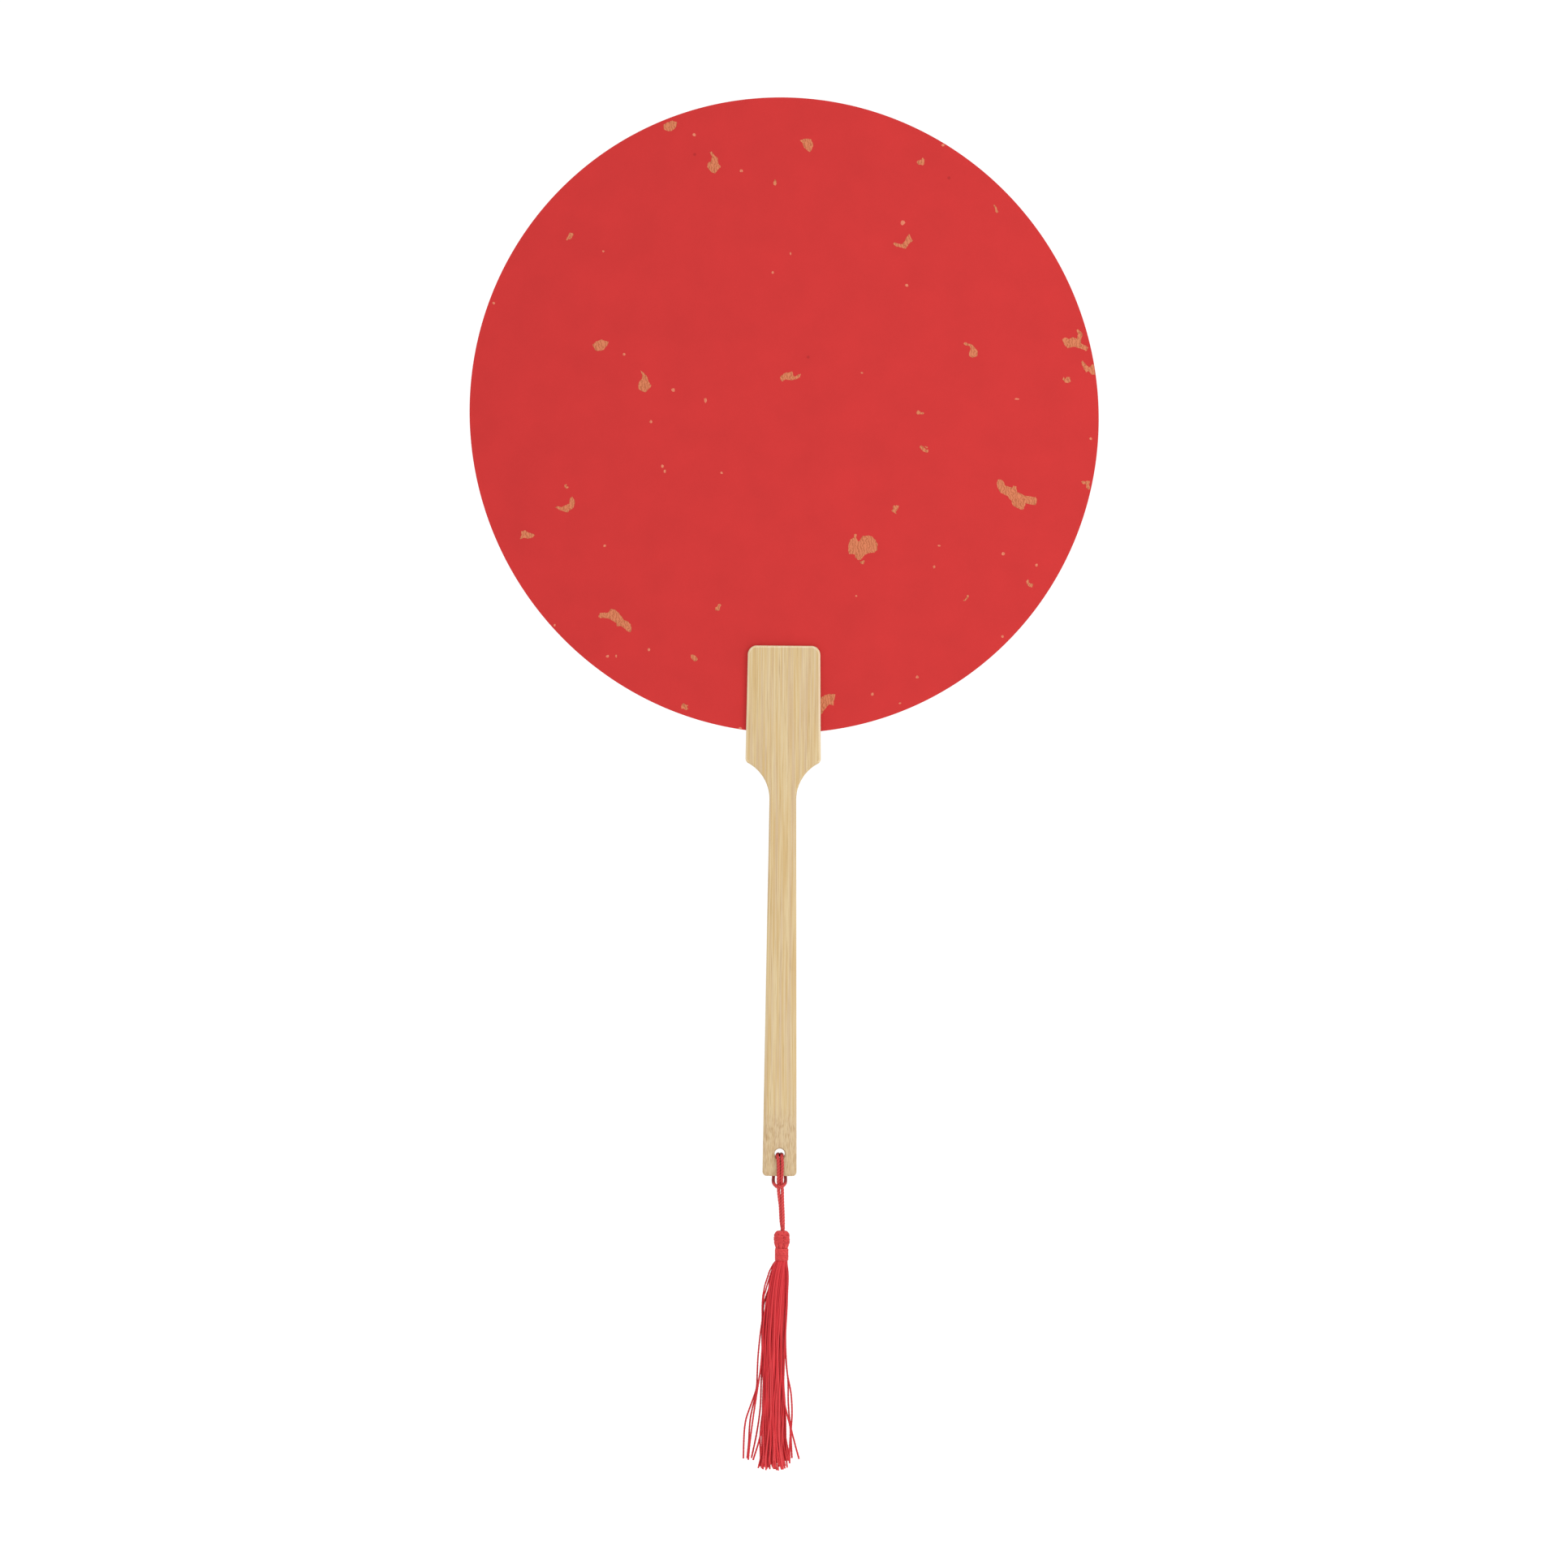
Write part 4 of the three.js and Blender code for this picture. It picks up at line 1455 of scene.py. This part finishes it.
    def build(self) -> None:
        silk = SilkyTwist("twisted silky cord", crest="#CC4240", crease_shade="#7C161C").material()
        twist = Twist(
            radius=self.diameter * self.crest_share,
            plies=self.plies,
            dip=self.ply_dip,
            sides=self.sides,
            pitch=self.pitch,
            steps=self.steps,
            depth=self.ply_shade_depth,
        )
        route = self.route()
        first = next(i for i, point in enumerate(route) if point.z > self.seam)
        last = next(i for i in range(len(route) - 1, 0, -1) if route[i].z > self.seam)
        line = route[first:last + 1]
        strand = twist.along(line)
        self.shade(strand)
        cord = new_piece("hanging_cord", strand, Slot.CORD, silk)
        root = replace(twist, steps=self.root_steps)
        ends = [root.along(route[:first + 1][::-1]), root.along(route[last:])]
        roots = new_piece("cord_roots", join(ends), Slot.CORD, silk)
        top, low = [(*self.pivot, level) for level in self.bend]
        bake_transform(cord, Body.FAN.value, Body.PENDANT.value, top, low)
        top, low = [(*self.pivot, level) for level in self.root_bend]
        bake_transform(roots, Body.PENDANT.value, Body.TASSEL.value, top, low)
        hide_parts("cord_hitch", "pendant_strand_left", "pendant_strand_right")
        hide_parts("cord_end_knot")


@dataclass
class TasselPart:
    """What the tassel's parts share: the axis that they lie round, and the neck that is wound."""

    axis: Flat = (1.0 * MM, -3.05 * MM)
    neck_top: float = -90.12 * MM
    neck_low: float = -94.7 * MM
    winding_radius: float = 2.18 * MM

    def at(self, radius: float, angle: float, level: float) -> Vector:
        """A point round the tassel's axis."""
        x, y = self.axis
        return Vector((x + radius * math.cos(angle), y + radius * math.sin(angle), level))


@dataclass
class TasselHead(TasselPart):
    """The tassel's head: threads folded over the cord's end, and short ones knotted across them."""

    top: float = -83.95 * MM
    profile: tuple[Flat, ...] = (
        (0.85 * MM, -0.22 * MM),
        (1.5 * MM, -0.17 * MM),
        (1.93 * MM, -0.4 * MM),
        (2.2 * MM, -0.9 * MM),
        (2.38 * MM, -1.7 * MM),
        (2.45 * MM, -2.7 * MM),
        (2.41 * MM, -3.8 * MM),
        (2.3 * MM, -4.8 * MM),
        (2.08 * MM, -5.5 * MM),
        (1.8 * MM, -6.1 * MM),
    )
    profile_smoothing: int = 6
    profile_steps: int = 90
    core_inset: float = 0.06 * MM
    core_least: float = 0.6 * MM
    core_steps: int = 32
    # Painted shade: the core shows only in the gaps between threads, so it is painted part way to the
    # creases' darker colour
    core_shade_crest: float = 0.5
    core_shade_tone: float = 0.8
    neck_inset: float = 0.2 * MM
    seed: int = 21
    yarn: Twist = Twist(radius=0.27 * MM, plies=2, dip=0.2, sides=6, pitch=1.5 * MM, steps=36, depth=0.5)
    yarn_length: float = 8 * MM
    stops: int = 9
    stop_steps: int = 4
    threads: int = 52
    sweep: float = 0.2
    lift: float = 0.08 * MM
    tones: Span = (0.4, 1.0)
    taper: Span = (0.7, 0.9)
    crossings: int = 64
    crossing_middle: Span = (0.25, 0.72)
    crossing_reach: float = 0.16
    crossing_sweep: Span = (0.35, 0.8)
    crossing_lift: float = 0.2 * MM
    crossing_tuck: float = 0.3 * MM
    crossing_tones: Span = (0.2, 1.0)
    crossing_taper: Span = (0.9, 0.9)

    def core(self) -> Shape:
        """Spin the solid middle of the head and neck.

        Returns:
            The shape that closes the gaps between the threads, painted darker as the shade in them.
        """
        rows = [(max(r - self.core_inset, self.core_least), self.top + z) for r, z in self.profile[1:]]
        neck = self.winding_radius - self.neck_inset
        rows += [(neck, self.neck_top), (neck, self.neck_low)]
        rows = [(0.0, rows[0][1]), *rows, (0.0, self.neck_low)]
        points = [self.at(radius, 0, level) for radius, level in rows]
        bm = spin_round(points, (*self.axis, 0), (0, 0, 1), self.core_steps)
        crest = bm.verts.layers.float.new("crest")
        tone = bm.verts.layers.float.new("tone")
        for vert in bm.verts:
            vert[crest] = self.core_shade_crest
            vert[tone] = self.core_shade_tone
        return bm

    def thread(
        self, line: list[Vector], shares: Span, angles: Span, lift: float, tuck: float
    ) -> list[Vector]:
        """Lay one thread on the head.

        Args:
            line: the head's outline in even steps, its radius as x and its level as z.
            shares: how far down the outline the thread starts and ends.
            angles: where round the head it starts and ends.
            lift: how far its middle stands off the outline.
            tuck: how far its ends are pushed in.

        Returns:
            The points that it follows.
        """
        points = []
        for i in range(self.stops + 1):
            share = i / self.stops
            row = line[round(between(shares, share) * (len(line) - 1))]
            arch = math.sin(math.pi * share)
            out = row.x + lift * arch - tuck * (1 - arch) ** 2
            points.append(self.at(out, between(angles, share), row.z))
        return smooth_route(points, self.stop_steps)

    def shape(self) -> Shape:
        """Lay threads from the cord's mouth to the neck, and short ones across them.

        Returns:
            The head.
        """
        rng = random.Random(self.seed)
        pattern = self.yarn.straight(self.yarn_length)
        rows = [Vector((radius, 0, self.top + level)) for radius, level in self.profile]
        line = even_steps(smooth_route(rows, self.profile_smoothing), self.profile_steps)
        parts = [self.core()]
        for i in range(self.threads):
            angle = FULL_TURN * i / self.threads
            angles = angle, angle + rng.uniform(-self.sweep, self.sweep)
            route = self.thread(line, (0, 1), angles, rng.uniform(0, self.lift), 0)
            tones = rng.uniform(*self.tones), rng.uniform(*self.tones)
            phase = rng.uniform(0, math.pi)
            parts.append(self.yarn.bend(pattern, route, tones, self.taper, phase))
        for _ in range(self.crossings):
            middle = rng.uniform(*self.crossing_middle)
            reach = rng.uniform(-self.crossing_reach, self.crossing_reach)
            angle = rng.uniform(0, FULL_TURN)
            sweep = rng.choice((-1, 1)) * rng.uniform(*self.crossing_sweep)
            shares = middle - reach, middle + reach
            angles = angle - sweep, angle + sweep
            route = self.thread(line, shares, angles, self.crossing_lift, self.crossing_tuck)
            tones = rng.uniform(*self.crossing_tones), rng.uniform(*self.crossing_tones)
            phase = rng.uniform(0, math.pi)
            parts.append(self.yarn.bend(pattern, route, tones, self.crossing_taper, phase))
        pattern.free()
        return join(parts)

    def build(self, silk: Material) -> None:
        """Build the head and hang it on its body.

        Args:
            silk: the threads' material.
        """
        head = new_piece("tassel_head_threads", self.shape(), Slot.THREAD, silk)
        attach(head, Body.TASSEL.value)
        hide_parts("tassel_head")


@dataclass
class NeckWinding(TasselPart):
    """The thread wound round the tassel's neck, in stretches whose plies don't line up."""

    turns: int = 12
    drop: float = 0.338 * MM
    turn_steps: int = 40
    start_turn: float = 0.25
    tuck: float = 0.35 * MM
    tucked_turns: float = 1 / 3
    wander: float = 0.03 * MM
    out_wave: Flat = (0.07, 1.7)
    sag_waves: tuple[Flat, ...] = ((0.113, 0.0), (0.037, 0.9))
    seed: int = 22
    stretch: tuple[int, int] = (12, 30)
    yarn: Twist = Twist(radius=0.24 * MM, plies=2, dip=0.1, sides=8, pitch=2.7 * MM, steps=20, depth=0.7)
    pitches: Span = (1.8 * MM, 3.6 * MM)
    first_tone: float = 0.8
    tones: Span = (0.55, 1.0)

    def route(self) -> list[Vector]:
        """Wind the thread's line down the neck.

        Returns:
            Points from the top turn to the lowest, with both ends tucked in.
        """
        count = self.turns * self.turn_steps
        points = []
        for i in range(count + 1):
            turns = i / self.turn_steps
            from_end = min(turns, self.turns - turns)
            tucked = self.tuck * max(0.0, 1 - from_end / self.tucked_turns)
            out, *sags = [math.sin(i * rate + phase) for rate, phase in (self.out_wave, *self.sag_waves)]
            radius = self.winding_radius - tucked + self.wander * out
            level = self.neck_top - self.drop * turns + self.wander * sum(sags)
            points.append(self.at(radius, FULL_TURN * (self.start_turn + turns), level))
        return points

    def shape(self) -> Shape:
        """Twist the thread, stretch by stretch.

        Returns:
            The winding.
        """
        rng = random.Random(self.seed)
        points = self.route()
        last = len(points) - 1
        parts = []
        start = 0
        tone = self.first_tone
        while start < last:
            stop = min(start + rng.randrange(*self.stretch), last)
            yarn = replace(self.yarn, pitch=rng.uniform(*self.pitches), steps=stop - start)
            tones = tone, rng.uniform(*self.tones)
            parts.append(yarn.along(points[start:stop + 1], tones, rng.uniform(0, math.pi)))
            start = stop
            tone = tones[1]
        return join(parts)

    def build(self, silk: Material) -> None:
        """Build the winding and hang it on its body.

        Args:
            silk: the thread's material.
        """
        winding = new_piece("neck_winding", self.shape(), Slot.THREAD, silk)
        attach(winding, Body.TASSEL.value)
        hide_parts("neck_binding")


@dataclass(frozen=True)
class LooseThread:
    """A thread of the skirt that hangs away from the rest: places across and up, and its depth, in mm."""

    depth: Span
    points: tuple[Flat, ...]


# The skirt's loose threads, those at its left first
LOOSE_THREADS = (
    LooseThread((-0.6, -1.2), (
        (-2.7, -95.3), (-3.4, -96.5), (-4.2, -98.1), (-4.75, -99.8), (-5.3, -101.5), (-5.8, -103.2),
        (-6.1, -104.9), (-6.4, -106.6), (-6.6, -110.0), (-6.6, -115.0), (-7.1, -119.0), (-7.9, -127.5),
        (-8.15, -134.0), (-8.4, -138.8), (-9.3, -141.8), (-10.6, -145.5), (-11.9, -149.5), (-12.4, -153.0),
        (-12.6, -157.3), (-12.7, -163.2),
    )),
    LooseThread((-1.0, -0.4), (
        (-2.4, -95.3), (-2.9, -96.5), (-3.5, -98.1), (-4.05, -99.8), (-4.55, -101.5), (-5.05, -103.2),
        (-5.5, -104.9), (-6.05, -106.6), (-6.45, -110.0), (-6.4, -117.0), (-5.9, -124.0), (-5.2, -132.0),
        (-4.8, -142.0), (-5.0, -152.0), (-5.6, -160.0), (-6.4, -165.8),
    )),
    LooseThread((0.2, 0.6), (
        (-2.2, -95.3), (-2.6, -98.0), (-3.2, -100.0), (-3.65, -101.7), (-4.1, -103.3), (-4.6, -104.9),
        (-5.25, -106.6), (-5.75, -108.3), (-6.15, -110.0), (-6.35, -114.0), (-6.6, -120.0), (-6.4, -128.0),
        (-5.9, -138.0), (-5.4, -148.0), (-5.7, -157.0), (-6.9, -166.2),
    )),
    LooseThread((-1.4, -2.0), (
        (-2.2, -95.3), (-2.9, -98.0), (-3.6, -101.0), (-4.3, -104.5), (-4.9, -108.0), (-5.7, -112.0),
        (-6.1, -116.0), (-6.2, -122.0), (-5.5, -130.0), (-4.9, -140.0), (-4.6, -150.0), (-4.9, -158.0),
        (-5.9, -166.8),
    )),
    LooseThread((0.4, 1.5), (
        (-2.5, -95.3), (-3.3, -100.7), (-5.0, -107.2), (-5.8, -114.8), (-6.0, -124.7), (-7.1, -133.2),
        (-8.6, -141.2), (-10.3, -148.8), (-10.7, -153.0), (-10.9, -157.9), (-11.4, -163.5),
    )),
    LooseThread((-1.2, -2.6), (
        (-2.3, -95.3), (-3.6, -102.1), (-5.5, -111.1), (-6.3, -121.9), (-7.0, -131.8), (-8.2, -140.3),
        (-9.6, -150.2), (-10.6, -158.7), (-11.0, -163.5),
    )),
    LooseThread((0.8, 2.6), (
        (-2.3, -95.3), (-5.2, -113.4), (-6.2, -127.6), (-6.7, -136.0), (-7.0, -145.9), (-8.1, -154.4),
        (-9.9, -163.5),
    )),
    LooseThread((-1.0, -3.2), (
        (-2.0, -95.3), (-5.4, -119.1), (-5.9, -136.0), (-6.0, -150.2), (-7.2, -156.4), (-9.3, -163.5),
    )),
    LooseThread((0.7, 1.8), (
        (1.7, -95.2), (2.1, -107.7), (1.6, -121.8), (2.0, -130.9), (2.6, -136.0), (2.8, -144.4),
        (3.6, -151.8), (5.2, -158.3), (6.7, -163.6),
    )),
    LooseThread((-0.7, -2.2), (
        (1.7, -95.2), (2.1, -104.9), (1.6, -119.0), (2.3, -133.1), (3.7, -140.5), (4.1, -147.3),
        (3.8, -154.3), (4.2, -162.8),
    )),
    LooseThread((-1.4, -3.4), (
        (1.4, -95.2), (1.8, -107.7), (1.2, -130.3), (1.3, -142.5), (2.6, -148.4), (3.5, -152.1),
        (3.4, -158.6), (3.4, -164.5),
    )),
    LooseThread((1.3, 2.8), (
        (1.1, -95.2), (1.3, -106.0), (1.05, -121.8), (1.05, -141.6), (1.7, -154.4), (2.7, -160.0),
        (3.5, -163.4),
    )),
)


@dataclass
class Skirt(TasselPart):
    """The tassel's loose skirt: threads that hang from the neck, lean a little to the left and spread."""

    top: float = -94.0 * MM
    tip: float = -167.0 * MM
    trim: float = 3.6 * MM
    bend_end: float = -101.0 * MM
    root: float = 1.6 * MM
    threads: int = 126
    stops: int = 20
    stop_steps: int = 8
    flare: Span = (1.14, 1.44)
    flare_reach: float = 0.02
    spread: float = 0.45
    spread_reach: float = 0.09
    tip_spread: float = 0.85
    tip_power: int = 8
    lean_left: float = 2.75 * MM
    lean_reach: float = 0.18
    lean_return: float = 0.6 * MM
    sways: int = 2
    sway_rate: Span = (0.6, 2.4)
    sway_width: Span = (0.1 * MM, 0.42 * MM)
    loose_from: float = 0.45
    seed: int = 23
    yarn: Twist = Twist(radius=0.34 * MM, plies=2, dip=0.18, sides=6, pitch=1.6 * MM, steps=340, depth=0.6)
    pitches: tuple[float, ...] = (1.35 * MM, 1.6 * MM, 1.9 * MM)
    stray: Twist = Twist(radius=0.35 * MM, plies=2, dip=0.1, sides=6, pitch=2.4 * MM, steps=264, depth=0.4)
    stray_root: float = 0.6
    tones: Span = (0.72, 1.2)
    stray_tone: float = 0.6
    # Painted light: threads are painted brighter towards their tips, which also mixes in the painted
    # highlight
    tip_light_tone: float = 1.3
    taper: Span = (0.85, 1.0)

    def hung(self, number: int, rng: random.Random) -> list[Vector]:
        """Hang one thread of the skirt.

        Args:
            number: its number, which gives its place at the root.
            rng: draws its sway and its trim.

        Returns:
            The points that it follows.
        """
        golden_angle = math.pi * (3 - math.sqrt(5))
        angle = number * golden_angle
        root = self.root * math.sqrt((number + 0.5) / self.threads)
        tip = self.tip + rng.uniform(0, self.trim)
        waves = []
        for _ in range(2 * self.sways):
            rate = rng.uniform(*self.sway_rate)
            phase = rng.uniform(0, FULL_TURN)
            waves.append((rate, phase, rng.uniform(*self.sway_width)))
        points = []
        for i in range(self.stops + 1):
            share = i / self.stops
            flare = between(self.flare, eased(share, self.flare_reach))
            spread = 1 + self.spread * eased(share, self.spread_reach)
            spread += self.tip_spread * share ** self.tip_power
            lean = self.lean_return * share ** 2 - self.lean_left * eased(share, self.lean_reach)
            place = self.at(root * flare * spread, angle, between((self.top, tip), share))
            loose = min(1, (share / self.loose_from) ** 2) + share ** 4
            sways = []
            for rate, phase, width in waves:
                sways.append(width * loose * math.sin(FULL_TURN * rate * share + phase))
            across = lean + sum(sways[:self.sways])
            points.append(place + Vector((across, sum(sways[self.sways:]), 0)))
        return points

    def strayed(self, thread: LooseThread) -> list[Vector]:
        """Hang one thread that has come away from the rest.

        Args:
            thread: where it hangs.

        Returns:
            The points that it follows.
        """
        x, y = self.axis
        first = self.stray_root * MM
        points = [Vector((x + first * thread.points[0][0], y + first * thread.depth[0], self.top))]
        for i, (across, level) in enumerate(thread.points):
            depth = between(thread.depth, i / (len(thread.points) - 1))
            points.append(Vector((x + across * MM, y + depth * MM, level * MM)))
        return points

    def shapes(self) -> dict[Quarter, Shape]:
        """Hang every thread of the skirt.

        Returns:
            The threads of each quarter.
        """
        rng = random.Random(self.seed)
        yarns = [replace(self.yarn, pitch=pitch) for pitch in self.pitches]
        patterns = {yarn: yarn.straight(self.top - self.tip) for yarn in (*yarns, self.stray)}
        routes = [(self.hung(number, rng), rng.choice(yarns)) for number in range(self.threads)]
        routes += [(self.strayed(thread), self.stray) for thread in LOOSE_THREADS]
        parts: dict[Quarter, list[Shape]] = {quarter: [] for quarter in Quarter}
        for route, yarn in routes:
            place = route[0].xy - Vector(self.axis)
            turn = math.atan2(place.y, place.x) % FULL_TURN
            tone = rng.uniform(*self.tones) * (self.stray_tone if yarn is self.stray else 1)
            # Painted light: each thread brighter at its tip than at its root
            tones = tone, self.tip_light_tone * tone
            phase = rng.uniform(0, math.pi)
            smooth = smooth_route(route, self.stop_steps)
            strand = yarn.bend(patterns[yarn], smooth, tones, self.taper, phase)
            parts[Quarter(int(len(Quarter) * turn / FULL_TURN) % len(Quarter))].append(strand)
        for pattern in patterns.values():
            pattern.free()
        return {quarter: join(threads) for quarter, threads in parts.items()}

    def build(self, silk: Material) -> None:
        """Build the skirt's quarters and hang them on their body.

        Args:
            silk: the threads' material.
        """
        start = (*self.axis, self.top)
        end = (*self.axis, self.bend_end)
        for quarter, shape in self.shapes().items():
            name = quarter.name.lower()
            threads = new_piece(f"skirt_threads_{name}", shape, Slot.THREAD, silk)
            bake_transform(threads, Body.TASSEL.value, Body.SKIRT.value, start, end)
            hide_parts(f"skirt_strands_{name}")


@dataclass
class Tassel:
    """The whole tassel: a head and a winding of tightly wound silk, painted lighter as a lit copy,
    and a skirt of loose silk.
    """

    loose: SilkyTwist = SilkyTwist("twisted silky thread")
    # Painted light: a lighter copy of the same silk, for the head and the winding
    lit_wound: SilkyTwist = SilkyTwist("tightly wound silky thread painted lighter", crest="#E04C4B", crease_shade="#A42428")

    def build(self) -> None:
        """Build the head, the winding and the skirt."""
        loose = self.loose.material()
        lit_wound = self.lit_wound.material()
        TasselHead().build(lit_wound)
        NeckWinding().build(lit_wound)
        Skirt().build(loose)


def main() -> None:
    """Build the scene in order: camera, cord, tassel, handle, leaf, light and floor."""
    logging.basicConfig(level=logging.INFO, format="%(message)s")
    studio = Studio()
    studio.place_camera()
    HangingCord().build()
    Tassel().build()
    BambooHandle().build()
    Leaf().build()
    studio.light()
    studio.lay_floor()


if __name__ == "__main__":
    main()
